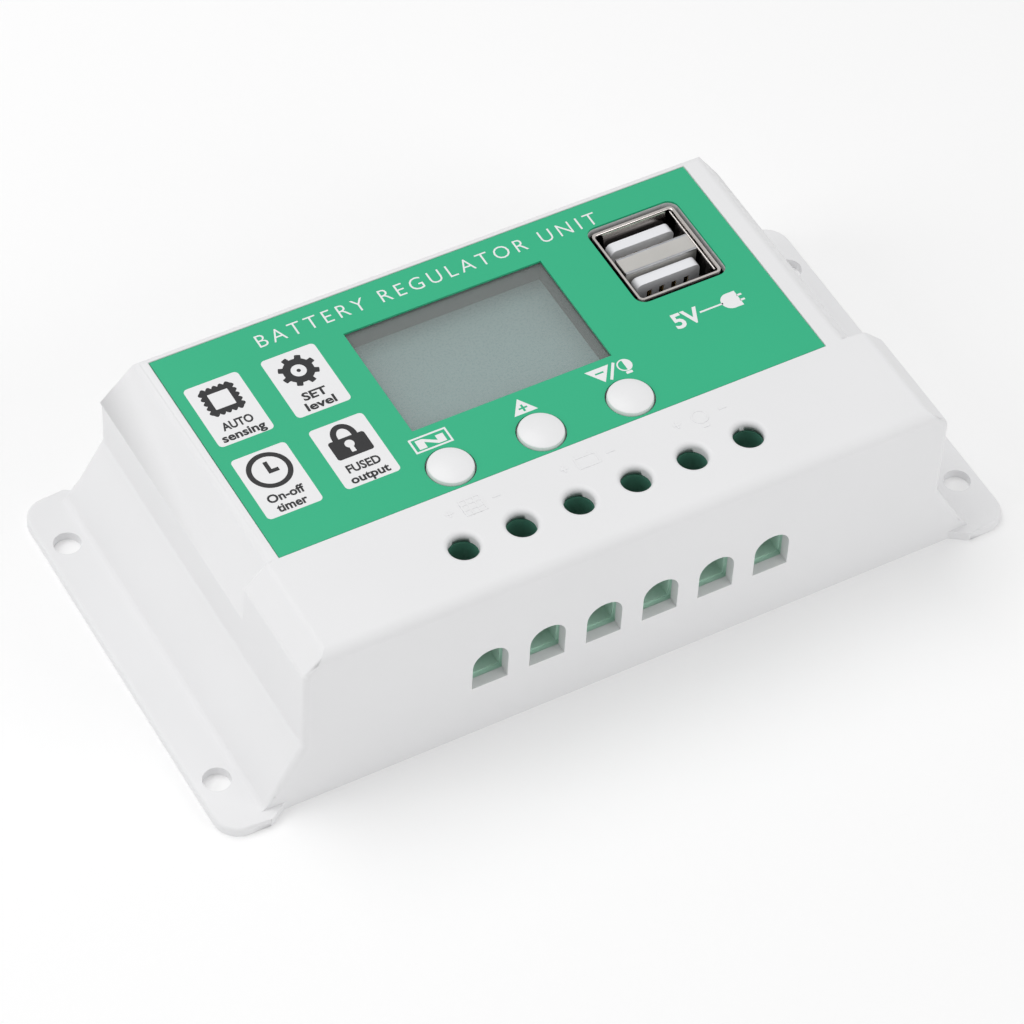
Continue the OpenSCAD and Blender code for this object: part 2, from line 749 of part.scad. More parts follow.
// Button cap: a crowned disc, a retaining flange under the case top and a stem
module button_cap(i) {
    r = cap_d / 2;
    edge = 0.6;
    rim_z = top_z + cap_proud - cap_crown;
    sphere_r = (r * r + cap_crown * cap_crown) / (2 * cap_crown);
    reach = asin(r / sphere_r);
    color("white") translate([cap_x(i), cap_y, 0]) {
        rotate_extrude($fn = 96) polygon(concat([[0, cap_flange_z], [cap_flange_d / 2, cap_flange_z],
            [cap_flange_d / 2, cap_flange_z + cap_flange_t], [r, cap_flange_z + cap_flange_t],
            [r, rim_z - edge]], [for (k = [0:12]) let (a = reach * (1 - k / 12))
            [sphere_r * sin(a) - (k == 0 ? 0.15 : 0), top_z + cap_proud - sphere_r + sphere_r * cos(a)]]));
        translate([0, 0, plunger_top]) cylinder(d = plunger_d + 1.5, h = cap_flange_z - plunger_top);
    }
}

module switch_plunger(i) {
    color("black") translate([cap_x(i), cap_y, plunger_z])
        cylinder(d = plunger_d, h = plunger_top - plunger_z);
}

module switch_bases() {
    color("dimgray") for (i = [0:2])
        translate([cap_x(i), cap_y, display_top]) difference() {
            translate([-switch_w / 2, -switch_w / 2, 0]) cube([switch_w, switch_w, switch_h]);
            translate([0, 0, 0.9]) cylinder(d = plunger_d + 2 * cap_gap, h = switch_h);
        }
}

module switch_covers() {
    color("silver") for (i = [0:2])
        translate([cap_x(i), cap_y, display_top + switch_h]) difference() {
            translate([-switch_w / 2, -switch_w / 2, 0]) cube([switch_w, switch_w, switch_cover_t]);
            translate([0, 0, -over]) cylinder(d = plunger_d + 2 * hole_gap, h = 3);
        }
}

// Snap domes under the plungers
module switch_domes() {
    foot_r = 1.7;
    r = (foot_r * foot_r + dome_rise * dome_rise) / (2 * dome_rise);
    color("gold") for (i = [0:2])
        translate([cap_x(i), cap_y, dome_z]) rotate_extrude() intersection() {
            translate([0, dome_rise - r]) difference() {
                circle(r, $fn = 96);
                circle(r - 0.2, $fn = 96);
            }
            square([foot_r, dome_rise]);
        }
}

module main_board() {
    color("forestgreen") difference() {
        span([-main_half_w, main_y0, main_z], [main_half_w, main_y1, main_top]);
        for (p = main_posts)
            translate([p.x, p.y, main_z - over])
                cylinder(d = screw_d + 2 * hole_gap, h = board_t + 2 * over);
        for (i = [0:poles - 1])
            span([pole_x(i) - pin_w / 2 - hole_gap, bar_back - bar_t - hole_gap, main_z - over],
                [pole_x(i) + pin_w / 2 + hole_gap, bar_back + hole_gap, main_top + over]);
        for (i = [0:header_n - 1])
            square_hole(header_x0 + i * lead_pitch, header_y, header_pin_w + 2 * hole_gap, main_z);
        for (i = [0:mosfet_count - 1]) {
            translate([mosfet_x(i), mosfet_hole_y, main_z - over])
                cylinder(d = m3_d + 2 * hole_gap, h = board_t + 2 * over);
            for (k = [-1:1])
                square_hole(mosfet_x(i) + k * lead_pitch, lead_bend_y, lead_t + 2 * hole_gap, main_z);
        }
        for (c = cans, k = [-1, 1])
            translate([c.x + k * can_lead_pitch / 2, c.y, main_z - over])
                cylinder(d = can_lead_d + 2 * hole_gap, h = board_t + 2 * over);
    }
}

// Terminal block: one cavity, one funnel, one screw well and one bar groove in each pole
module terminal_housing() {
    color("seagreen") difference() {
        span([row_x - housing_half_w, housing_y0, main_top], [row_x + housing_half_w, housing_y1,
            housing_top]);
        for (i = [0:poles - 1])
            translate([pole_x(i), 0, 0]) {
                span([-cavity_w / 2, row_y - cavity_d / 2, cavity_z],
                    [cavity_w / 2, row_y + cavity_d / 2, cavity_top]);
                translate([0, 0, sill_z]) along_y(housing_y0 - over, row_y) wire_outline(-0.05);
                translate([0, 0, sill_z]) along_y(housing_y0 - over, housing_y0 + 0.8) wire_outline(0.25);
                translate([0, row_y, cavity_top - over]) cylinder(d = clamp_d + 0.2, h = 3);
                translate([0, row_y, head_z]) cylinder(d = driver_d, h = housing_top);
                span([-bar_w / 2 - seat_gap, row_y, bar_z - seat_gap],
                    [bar_w / 2 + seat_gap, housing_y1 + over, bar_z + bar_t + seat_gap]);
                span([-bar_w / 2 - seat_gap, bar_back - bar_t - seat_gap, main_top - over],
                    [bar_w / 2 + seat_gap, housing_y1 + over, bar_z + bar_t + seat_gap]);
            }
    }
}

// Current bars: each reaches through its cage and bends down to the main board
module terminal_bars() {
    color("silver") for (i = [0:poles - 1])
        translate([pole_x(i), 0, 0]) {
            span([-bar_w / 2, row_y - cage_d / 2 + 0.4, bar_z], [bar_w / 2, bar_back, bar_z + bar_t]);
            span([-bar_w / 2, bar_back - bar_t, main_top], [bar_w / 2, bar_back, bar_z + bar_t]);
            span([-pin_w / 2, bar_back - bar_t, main_z - 1.2], [pin_w / 2, bar_back, bar_z]);
        }
}

// Clamp screw: its head turns on the housing's ledge and its tip turns on the current bar
module terminal_screw(i) {
    tip_z = bar_z + bar_t + seat_gap;
    color("silver") translate([pole_x(i), row_y, 0]) difference() {
        union() {
            translate([0, 0, tip_z]) cylinder(d = clamp_d, h = head_z + seat_gap + 0.5 - tip_z);
            translate([0, 0, head_z + seat_gap]) cylinder(d = head_d, h = head_h);
        }
        translate([0, 0, head_z + seat_gap + head_h]) mirror([0, 0, 1]) cross_slot(head_d - 1.2, 0.9, 1.3);
    }
}

// Clamp cage: a square tube around the current bar, with the screw through its roof
module terminal_cage(i) {
    color("gold") translate([pole_x(i), row_y, 0]) difference() {
        span([-cage_w / 2, -cage_d / 2, cage_z], [cage_w / 2, cage_d / 2, cage_top]);
        span([-cage_w / 2 + 1, -cage_d / 2 - over, sill_z], [cage_w / 2 - 1, cage_d / 2 + over, cage_roof]);
        translate([0, 0, cage_roof - over]) cylinder(d = clamp_d + 0.16, h = cage_t + 2 * over);
    }
}

module heatsink_plate() {
    color("silver") difference() {
        span([mosfet_x(0) - 7, mosfet_y, main_top], [mosfet_x(mosfet_count - 1) + 7, mosfet_y + 24,
            main_top + plate_t]);
        for (i = [0:mosfet_count - 1])
            translate([mosfet_x(i), mosfet_hole_y, main_top - over])
                cylinder(d = m3_d + 2 * hole_gap, h = plate_t + 2 * over);
    }
}

module thermal_pads() {
    color("lightgray") for (i = [0:mosfet_count - 1])
        translate([mosfet_x(i), 0, main_top + plate_t]) difference() {
            span([-mosfet_w / 2 - pad_over, mosfet_y + 0.1, 0],
                [mosfet_w / 2 + pad_over, mosfet_y + mosfet_l + pad_over, pad_t]);
            translate([0, mosfet_hole_y, -over]) cylinder(d = tab_hole_d, h = pad_t + 2 * over);
        }
}

module mosfet_tabs() {
    color("silver") for (i = [0:mosfet_count - 1])
        translate([mosfet_x(i), 0, tab_z]) difference() {
            span([-mosfet_w / 2, mosfet_y + 0.3, 0], [mosfet_w / 2, mosfet_y + mosfet_l, tab_t]);
            translate([0, mosfet_hole_y, -over]) cylinder(d = tab_hole_d, h = tab_t + 2 * over);
        }
}

module mosfet_bodies() {
    color("black") for (i = [0:mosfet_count - 1])
        span([mosfet_x(i) - mosfet_w / 2, mosfet_y, tab_z + tab_t],
            [mosfet_x(i) + mosfet_w / 2, mosfet_y + mosfet_body_l, tab_z + tab_t + body_h]);
}

module mosfet_leads() {
    z = tab_z + tab_t + 0.6;
    color("silver") for (i = [0:mosfet_count - 1], k = [-1:1])
        translate([mosfet_x(i) + k * lead_pitch, 0, 0]) {
            span([-lead_t / 2, lead_bend_y - lead_t / 2, z], [lead_t / 2, mosfet_y, z + lead_t]);
            span([-lead_t / 2, lead_bend_y - lead_t / 2, main_z - lead_end],
                [lead_t / 2, lead_bend_y + lead_t / 2, z + lead_t]);
        }
}

module mosfet_screws() {
    color("silver") for (i = [0:mosfet_count - 1])
        translate([mosfet_x(i), mosfet_hole_y, 0]) difference() {
            union() {
                translate([0, 0, main_z - nut_h - 0.2])
                    cylinder(d = m3_d, h = tab_z + tab_t + m3_head_h / 2 - main_z + nut_h + 0.2);
                translate([0, 0, tab_z + tab_t]) cylinder(d = m3_head_d, h = m3_head_h);
            }
            translate([0, 0, tab_z + tab_t + m3_head_h]) mirror([0, 0, 1]) cross_slot(3, 0.7, 1);
        }
}

module mosfet_nuts() {
    color("silver") for (i = [0:mosfet_count - 1])
        translate([mosfet_x(i), mosfet_hole_y, main_z - nut_h]) difference() {
            cylinder(d = nut_af / cos(30), h = nut_h, $fn = 6);
            translate([0, 0, -over]) cylinder(d = m3_d + 0.06, h = nut_h + 2 * over);
        }
}

module capacitor_cans() {
    color("silver") for (c = cans)
        translate([c.x, c.y, main_top + bung_h]) {
            difference() {
                cylinder(d = can_d, h = can_h);
                translate([0, 0, can_h]) mirror([0, 0, 1]) cross_slot(can_d - 3, 0.5, 0.25);
            }
            for (k = [-1, 1])
                translate([k * can_lead_pitch / 2, 0, -bung_h - board_t - lead_end])
                    cylinder(d = can_lead_d, h = bung_h + board_t + lead_end + 0.1);
        }
}

module capacitor_sleeves() {
    color("midnightblue") for (c = cans)
        translate([c.x, c.y, main_top + bung_h + 0.1]) difference() {
            cylinder(d = can_d + 2 * sleeve_t + 0.04, h = can_h);
            translate([0, 0, -over]) cylinder(d = can_d + 0.04, h = can_h - 0.1 + over);
            cylinder(d = can_d - 2, h = can_h + over);
        }
}

module capacitor_bungs() {
    color("black") for (c = cans)
        translate([c.x, c.y, main_top]) difference() {
            cylinder(d = can_d - 1, h = bung_h);
            for (k = [-1, 1])
                translate([k * can_lead_pitch / 2, 0, -over])
                    cylinder(d = can_lead_d + 0.1, h = bung_h + 2 * over);
        }
}

// Inductor: a ring core inside a ring winding
module inductor_core() {
    color("dimgray") translate([coil_x, coil_y, main_top + 1]) rotate_extrude($fn = 64)
        translate([coil_r - 1.2, 0]) square([2.4, 3.6]);
}

module inductor_winding() {
    color("peru") translate([coil_x, coil_y, main_top + 0.2]) rotate_extrude($fn = 64) difference() {
        translate([coil_r, 2.6]) round_rect(4, 5.2, 1);
        translate([coil_r - 1.2, 0.8]) square([2.4, 3.6]);
    }
}

module microcontroller() {
    pins = 8;
    pitch = 1;
    color("black") translate([chip_x, chip_y, main_top + 0.1]) {
        translate([-chip_w / 2, -chip_w / 2, 0]) cube([chip_w, chip_w, 1.4]);
        for (a = [0:90:270], i = [0:pins - 1])
            rotate([0, 0, a]) translate([(i - (pins - 1) / 2) * pitch - 0.2, chip_w / 2 - 0.1, 0])
                cube([0.4, 1.3, 0.5]);
    }
}

module header_housings() {
    x0 = header_x0 - header_w / 2;
    x1 = header_x0 + (header_n - 1) * lead_pitch + header_w / 2;
    header_bore_w = header_pin_w + 0.04;
    color("black") for (z = [main_top, display_z - header_w]) difference() {
        span([x0, header_y - header_w / 2, z], [x1, header_y + header_w / 2, z + header_w]);
        for (i = [0:header_n - 1])
            span([header_x0 + i * lead_pitch - header_bore_w / 2, header_y - header_bore_w / 2, z - over],
                [header_x0 + i * lead_pitch + header_bore_w / 2, header_y + header_bore_w / 2,
                z + header_w + over]);
    }
}

module header_pins() {
    color("gold") for (i = [0:header_n - 1])
        span([header_x0 + i * lead_pitch - header_pin_w / 2, header_y - header_pin_w / 2, main_z - lead_end],
            [header_x0 + i * lead_pitch + header_pin_w / 2, header_y + header_pin_w / 2, display_top + 1.3]);
}

// Current-sensing bars: two bridges of resistance strip
module shunt_bars() {
    color("rosybrown") for (s = [-1, 1])
        translate([shunt_x, shunt_y + s * 3.5, main_top]) difference() {
            translate([-5, -1, 0]) cube([10, 2, 4]);
            translate([-3.8, -1 - over, -over]) cube([7.6, 4, 4]);
        }
}

top_case();
back_cover();
cover_screws();
label_overlay();
display_window();
lcd_gasket();
lcd_front_glass();
lcd_rear_glass();
lcd_light_guide();
lcd_holder();
lcd_pins();
display_board();
display_board_screws();
port_shell();
port_divider();
port_insulator_back();
port_insulator_front();
port_contacts();
button_cap(0);  // button_cap_1
button_cap(1);  // button_cap_2
button_cap(2);  // button_cap_3
switch_plunger(0);  // switch_plunger_1
switch_plunger(1);  // switch_plunger_2
switch_plunger(2);  // switch_plunger_3
switch_bases();
switch_covers();
switch_domes();
main_board();
main_board_screws();
terminal_housing();
terminal_bars();
terminal_screw(0);  // terminal_screw_1
terminal_screw(1);  // terminal_screw_2
terminal_screw(2);  // terminal_screw_3
terminal_screw(3);  // terminal_screw_4
terminal_screw(4);  // terminal_screw_5
terminal_screw(5);  // terminal_screw_6
terminal_cage(0);  // terminal_cage_1
terminal_cage(1);  // terminal_cage_2
terminal_cage(2);  // terminal_cage_3
terminal_cage(3);  // terminal_cage_4
terminal_cage(4);  // terminal_cage_5
terminal_cage(5);  // terminal_cage_6
heatsink_plate();
thermal_pads();
mosfet_tabs();
mosfet_bodies();
mosfet_leads();
mosfet_screws();
mosfet_nuts();
capacitor_cans();
capacitor_sleeves();
capacitor_bungs();
inductor_core();
inductor_winding();
microcontroller();
header_housings();
header_pins();
shunt_bars();
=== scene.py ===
# %% [markdown]
# # A wall-mounted charge controller, finished piece by piece
# The object is a plastic case with a printed top film, a display behind a clear window, three push
# buttons, a twin charging port and six cage clamps for wires. A CAD model already holds every part at
# its real size and place, and this lesson loads it as a fixed frame. What is left is the finish: soft
# moulded edges, the print on the film, the folds of the port, a wound coil, and a material for every
# piece. Lengths are written in millimetres and turned into metres once, when a mesh is made.

# %% Load the frame
import bmesh
import bpy
import json
import math
import numpy as np
from mathutils import Matrix, Vector


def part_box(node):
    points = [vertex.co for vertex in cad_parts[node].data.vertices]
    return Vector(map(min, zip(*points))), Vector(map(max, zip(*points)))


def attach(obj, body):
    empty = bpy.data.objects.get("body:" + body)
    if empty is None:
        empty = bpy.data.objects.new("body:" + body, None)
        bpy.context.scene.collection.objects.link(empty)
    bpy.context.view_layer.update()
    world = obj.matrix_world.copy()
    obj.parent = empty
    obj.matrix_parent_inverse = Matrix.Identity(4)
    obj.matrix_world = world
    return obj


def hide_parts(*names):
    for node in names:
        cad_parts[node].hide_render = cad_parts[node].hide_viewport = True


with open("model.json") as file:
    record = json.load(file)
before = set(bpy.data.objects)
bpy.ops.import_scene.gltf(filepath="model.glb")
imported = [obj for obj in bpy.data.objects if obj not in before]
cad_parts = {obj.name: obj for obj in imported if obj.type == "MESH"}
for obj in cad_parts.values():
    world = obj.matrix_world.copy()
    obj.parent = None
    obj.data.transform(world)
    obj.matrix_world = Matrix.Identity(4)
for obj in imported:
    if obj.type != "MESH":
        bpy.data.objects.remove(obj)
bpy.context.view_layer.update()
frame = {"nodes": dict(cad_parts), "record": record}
MM = 0.001
record = frame["record"]

# %% [markdown]
# ## Places come from the parts
# A print or a fold has to sit on its part, so its place is read from that part's box. If the CAD
# model changes, the finish follows it. One helper gives a box in millimetres, and a few names hold the
# boxes that the later steps use again and again.

# %% Boxes of the parts
def corners(node):
    """Lowest and highest corner of a CAD node, in millimetres."""
    low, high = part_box(node)
    return np.array(low) / MM, np.array(high) / MM


film_low, film_high = corners("label_overlay")
window_low, window_high = corners("lcd_gasket")
case_low, case_high = corners("top_case")
port_low, port_high = corners("port_shell")
caps = [corners(f"button_cap_{i}") for i in (1, 2, 3)]
TOP_Z = case_high[2]
FILM_Z = film_high[2]
LEFT, BACK = film_low[0], film_high[1]
print("film from", film_low, "to", film_high)

# %% [markdown]
# ## The camera
# A product view is taken from well above and to one side with a long lens, so that edges stay almost
# parallel. The camera could be given by a place and three angles, but a target, a distance and two
# angles are easier to reason about. The view also rolls a little, as a hand-held one does.

# %% Set up the camera
LOOKS_AT = Vector((-8.14, -11.65, 18.0)) * MM
DISTANCE = 777.9 * MM
TURN = math.radians(31.575)
LIFT = math.radians(49.12)
ROLL = math.radians(3.552)

forward = Vector((math.sin(TURN) * math.cos(LIFT), math.cos(TURN) * math.cos(LIFT), -math.sin(LIFT)))
level = forward.to_track_quat("-Z", "Y").to_matrix()
turned = level @ Matrix.Rotation(ROLL, 3, "Z")
camera = bpy.data.objects.new("camera", bpy.data.cameras.new("camera"))
camera.data.lens = 165.2
camera.data.sensor_width = 36
camera.data.clip_start = 0.01
camera.matrix_world = Matrix.Translation(LOOKS_AT - forward * DISTANCE) @ turned.to_4x4()
bpy.context.scene.collection.objects.link(camera)
bpy.context.scene.camera = camera
print("camera at", camera.location)

# %% [markdown]
# ## Light and floor
# White plastic on a white floor reads only by soft differences of tone. A bright even sky fills every
# side, and three large area lights add direction. The main one stands behind and above, so the front
# wall stays a little darker than the top. One of the two weaker ones comes from the front and right and
# reaches into the wire windows, and the other comes from the left. Small lamps would be simpler, but
# they would throw hard shadows that a studio sweep doesn't have.

# %% Sky, lamps and floor
SKY = 0.6
LAMPS = {"main": ((-160, 300, 820), 620, 2.3), "front": ((480, -640, 420), 420, 1.3),
         "left": ((-640, 60, 460), 420, 1.0)}

world = bpy.data.worlds.new("studio")
bpy.context.scene.world = world
world.use_nodes = True
world.node_tree.nodes["Background"].inputs["Color"].default_value = (1, 1, 1, 1)
world.node_tree.nodes["Background"].inputs["Strength"].default_value = SKY
for name, (place, size, power) in LAMPS.items():
    lamp = bpy.data.objects.new(name, bpy.data.lights.new(name, "AREA"))
    lamp.data.size = size * MM
    lamp.data.energy = power
    lamp.location = Vector(place) * MM
    lamp.rotation_euler = (LOOKS_AT - lamp.location).to_track_quat("-Z", "Y").to_euler()
    bpy.context.scene.collection.objects.link(lamp)
bpy.context.scene.view_settings.view_transform = "Standard"

FLOOR = 3.0
floor_mesh = bpy.data.meshes.new("floor")
floor_mesh.from_pydata([(-FLOOR, -FLOOR, 0), (FLOOR, -FLOOR, 0), (FLOOR, FLOOR, 0), (-FLOOR, FLOOR, 0)],
                       [], [(0, 1, 2, 3)])
floor = bpy.data.objects.new("floor", floor_mesh)
bpy.context.scene.collection.objects.link(floor)
print("lamps", list(LAMPS))

# %% [markdown]
# ## A language for materials
# Every material here starts from the same idea. A fine noise gives the grain that a finger would feel,
# and it moves both the height and the gloss. A broad noise lets the colour drift, because no moulded,
# rolled or plated part is one flat colour. Stretching the fine noise along one axis turns moulded
# grain into rolled or brushed metal. Both noises read Object coordinates, which are real metres, so a
# grain of 0.3 mm is 0.3 mm on every part. Colours are named as a paint chart would, from 0 to 255.

# %% Helpers for node trees
def paint(red, green, blue):
    """Linear colour of a chart colour given from 0 to 255."""
    share = np.array([red, green, blue]) / 255
    linear = np.where(share <= 0.04045, share / 12.92, ((share + 0.055) / 1.055) ** 2.4)
    return tuple(float(value) for value in linear) + (1.0,)


def add(tree, kind, sockets=None, **settings):
    """Adds a shader node. Its sockets get a number, a colour or another node's output."""
    node = tree.nodes.new("ShaderNode" + kind)
    for name, value in settings.items():
        setattr(node, name, value)
    for name, value in (sockets or {}).items():
        if isinstance(value, bpy.types.NodeSocket):
            tree.links.new(value, node.inputs[name])
        else:
            node.inputs[name].default_value = value
    return node


def shade(colour, factor):
    """A colour made darker or lighter by a factor, kept within range."""
    return tuple(min(1.0, channel * factor) for channel in colour[:3]) + (1.0,)


GLOSS_SPREAD = 0.06
TONE_LOW, TONE_HIGH = 0.3, 0.7


def surface(name, colour, rough, metal=0.0, grain=0.4, depth=0.01, stretch=(1, 1, 1), drift=0.05,
            patch=14.0, fixed=None):
    """A material of fine grain (size and depth in mm) and slow colour drift over patches (size in mm)."""
    material = bpy.data.materials.new(name)
    material.use_nodes = True
    tree = material.node_tree
    shader = tree.nodes["Principled BSDF"]
    place = add(tree, "TexCoord").outputs["Object"]
    along = add(tree, "Mapping", {"Vector": place, "Scale": stretch}).outputs["Vector"]
    fine = add(tree, "TexNoise", {"Vector": along, "Scale": 1 / (grain * MM), "Detail": 3.0}).outputs["Fac"]
    broad = add(tree, "TexNoise", {"Vector": place, "Scale": 1 / (patch * MM), "Detail": 4.0}).outputs["Fac"]
    tone = add(tree, "ValToRGB", {"Fac": broad})
    tone.color_ramp.elements[0].position = TONE_LOW
    tone.color_ramp.elements[0].color = shade(colour, 1 - drift)
    tone.color_ramp.elements[1].position = TONE_HIGH
    tone.color_ramp.elements[1].color = shade(colour, 1 + drift)
    gloss = add(tree, "MapRange", {"Value": fine, "To Min": rough - GLOSS_SPREAD,
                                   "To Max": rough + GLOSS_SPREAD})
    bump = add(tree, "Bump", {"Height": fine, "Distance": depth * MM, "Strength": 1.0})
    tree.links.new(tone.outputs["Color"], shader.inputs["Base Color"])
    tree.links.new(gloss.outputs["Result"], shader.inputs["Roughness"])
    tree.links.new(bump.outputs["Normal"], shader.inputs["Normal"])
    shader.inputs["Metallic"].default_value = metal
    for socket, value in (fixed or {}).items():
        shader.inputs[socket].default_value = value
    return material


def colour_of(material):
    """The output that now feeds the base colour of a material."""
    return material.node_tree.nodes["Principled BSDF"].inputs["Base Color"].links[0].from_socket


def overpaint(material, mask, colour):
    """Lays a second colour over a material where the mask is 1."""
    tree = material.node_tree
    mix = add(tree, "MixRGB", {"Fac": mask, "Color1": colour_of(material), "Color2": colour})
    tree.links.new(mix.outputs["Color"], tree.nodes["Principled BSDF"].inputs["Base Color"])


def stripes(tree, axis, pitch, share):
    """A mask that is 1 on stripes across an axis: a sine of the given pitch in mm, cut at a level."""
    place = add(tree, "TexCoord").outputs["Object"]
    apart = add(tree, "SeparateXYZ", {"Vector": place}).outputs[axis]
    turns = add(tree, "Math", {0: apart, 1: 2 * math.pi / (pitch * MM)}, operation="MULTIPLY").outputs[0]
    wave = add(tree, "Math", {0: turns}, operation="SINE").outputs[0]
    level = math.cos(math.pi * share)
    return add(tree, "Math", {0: wave, 1: level}, operation="GREATER_THAN").outputs[0]


print("helpers ready")

# %% [markdown]
# ## Plastics
# The case is moulded in off-white plastic with a fine spark-eroded grain, the buttons are a little smoother,
# and the terminal block is a green plastic that lets some light through. Its front, where light comes in at
# the wire windows, gets painted light: a paler green laid over it by place. A single white for all would
# look like paint, so each has its own grain, gloss and drift. Light under the surface is the same all over a
# part, so it is set on the shader's own sockets.

# %% Make the plastics
WHITE = paint(233, 233, 234)
SOFT_GLOW = {"Subsurface Weight": 0.08, "Subsurface Radius": (0.002, 0.002, 0.002), "Subsurface Scale": 0.4}

finishes = {
    "case_white": surface("case_white", WHITE, 0.52, grain=0.22, depth=0.006, drift=0.012, patch=30),
    "cover_grey": surface("cover_grey", paint(222, 223, 222), 0.55, grain=0.3, depth=0.008, drift=0.02),
    "cap_white": surface("cap_white", paint(235, 235, 236), 0.34, grain=0.35, depth=0.002, drift=0.01),
    "holder_white": surface("holder_white", paint(232, 232, 228), 0.5, grain=0.3, depth=0.006, drift=0.02),
    "port_plastic": surface("port_plastic", paint(236, 237, 240), 0.38, grain=0.25, depth=0.004, drift=0.02,
                            patch=4),
    "terminal_green": surface("terminal_green", paint(82, 140, 120), 0.42, grain=0.3, depth=0.006,
                              drift=0.08, patch=9, fixed=SOFT_GLOW),
    "plunger_black": surface("plunger_black", paint(34, 34, 36), 0.4, grain=0.2, depth=0.004, drift=0.08),
    "chip_black": surface("chip_black", paint(38, 38, 41), 0.58, grain=0.12, depth=0.006, drift=0.1),
    "light_guide": surface("light_guide", paint(226, 236, 232), 0.3, grain=0.5, depth=0.01, drift=0.02),
    "sleeve_blue": surface("sleeve_blue", paint(28, 40, 96), 0.26, grain=0.5, depth=0.004, drift=0.1),
    "gasket_rubber": surface("gasket_rubber", paint(54, 62, 60), 0.85, grain=0.15, depth=0.02, drift=0.12,
                             patch=3),
    "pad_grey": surface("pad_grey", paint(176, 182, 186), 0.8, grain=0.25, depth=0.012, drift=0.05),
}
green = finishes["terminal_green"].node_tree
green_y = add(green, "SeparateXYZ", {"Vector": add(green, "TexCoord").outputs["Object"]}).outputs["Y"]
# Painted light: the green is painted paler towards the front, where light comes in at the wire windows.
PAINTED_LIGHT_FROM, PAINTED_LIGHT_TO, PAINTED_LIGHT_SHARE = -28.5, -32.0, 0.9
painted_light_front = add(green, "MapRange", {"Value": green_y, "From Min": PAINTED_LIGHT_FROM * MM, "From Max": PAINTED_LIGHT_TO * MM,
                              "To Min": 0.0, "To Max": PAINTED_LIGHT_SHARE})
overpaint(finishes["terminal_green"], painted_light_front.outputs["Result"], paint(205, 238, 222))
print("plastics", sorted(finishes))

# %% [markdown]
# ## Metals
# Screws and clamps are zinc plated, the port is nickel on folded sheet, the contacts are gilt and the bars
# are tinned. Plating keeps the marks of rolling, so the grain is stretched along one axis. Inside the port a
# second, much darker colour is laid over the sheet by height: painted shade, darkest deep down and fading
# out just below the rim.

# %% Make the metals
ROLLED_X = (0.12, 1, 1)
ROLLED_Z = (1, 1, 0.12)

finishes.update({
    "screw_steel": surface("screw_steel", paint(196, 198, 202), 0.3, 1.0, 0.15, 0.003, drift=0.1, patch=3),
    "clamp_steel": surface("clamp_steel", paint(182, 186, 186), 0.34, 1.0, 0.18, 0.004, drift=0.1, patch=2),
    "port_nickel": surface("port_nickel", paint(232, 226, 222), 0.2, 1.0, 0.3, 0.003, ROLLED_Z, 0.08, 5),
    "port_plate": surface("port_plate", paint(205, 203, 199), 0.42, 0.6, 0.12, 0.004, ROLLED_X, 0.03, 4),
    "contact_gilt": surface("contact_gilt", paint(226, 190, 110), 0.25, 1.0, 0.1, 0.002, drift=0.08),
    "cage_brass": surface("cage_brass", paint(208, 204, 184), 0.36, 1.0, 0.2, 0.005, ROLLED_X, 0.1, 3),
    "bar_tin": surface("bar_tin", paint(204, 204, 200), 0.4, 1.0, 0.2, 0.004, ROLLED_X, 0.08, 4),
    "plate_aluminium": surface("plate_aluminium", paint(206, 208, 212), 0.38, 1.0, 0.25, 0.005, ROLLED_X,
                               0.05, 8),
    "winding_copper": surface("winding_copper", paint(196, 104, 58), 0.24, 1.0, 0.25, 0.004, drift=0.16,
                              patch=2, fixed={"Coat Weight": 0.6, "Coat Roughness": 0.12}),
    "shunt_alloy": surface("shunt_alloy", paint(168, 140, 118), 0.44, 1.0, 0.2, 0.006, ROLLED_X, 0.1, 3),
    "core_grey": surface("core_grey", paint(88, 88, 92), 0.7, 0.0, 0.12, 0.012, drift=0.15, patch=2),
})

nickel = finishes["port_nickel"].node_tree
height = add(nickel, "SeparateXYZ", {"Vector": add(nickel, "TexCoord").outputs["Object"]}).outputs["Z"]
rim_z = port_high[2]
# Painted shade: below the rim the nickel is painted almost black by height, standing in for the shade inside
# the port.
painted_shade_by_depth = add(nickel, "MapRange", {"Value": height, "From Min": (rim_z - 0.9) * MM,
                                    "From Max": (rim_z - 0.15) * MM, "To Min": 0.94, "To Max": 0.0})
overpaint(finishes["port_nickel"], painted_shade_by_depth.outputs["Result"], paint(46, 41, 39))
print("metals", len(finishes), "finishes so far")

# %% [markdown]
# ## The film, the glass and the boards
# The film is satin and carries a printed green that is never quite even. The display shows a blank
# grey-green field, darker towards its far edge, where the window's wall shades it, with the faint grid
# of its drive lines. The boards carry copper under green lacquer: stripes whose direction changes from
# patch to patch, as routed tracks do. The window is clear, so it is mostly transparent.

# %% Make the film, the glass and the boards
finishes["overlay_green"] = surface("overlay_green", paint(38, 178, 130), 0.36, grain=0.5, depth=0.002,
                                    drift=0.02, patch=40, fixed={"Coat Weight": 0.05, "Coat Roughness": 0.3})
finishes["window_clear"] = surface("window_clear", paint(225, 232, 230), 0.12, grain=6, depth=0.002,
                                   drift=0.01, fixed={"Alpha": 0.12, "Specular IOR Level": 0.6})
finishes["display_glass"] = surface("display_glass", paint(128, 153, 152), 0.28, grain=0.4, depth=0.0003,
                                    drift=0.008, patch=30)
finishes["board_green"] = surface("board_green", paint(24, 92, 54), 0.32, grain=0.4, depth=0.004,
                                  drift=0.1, patch=10)

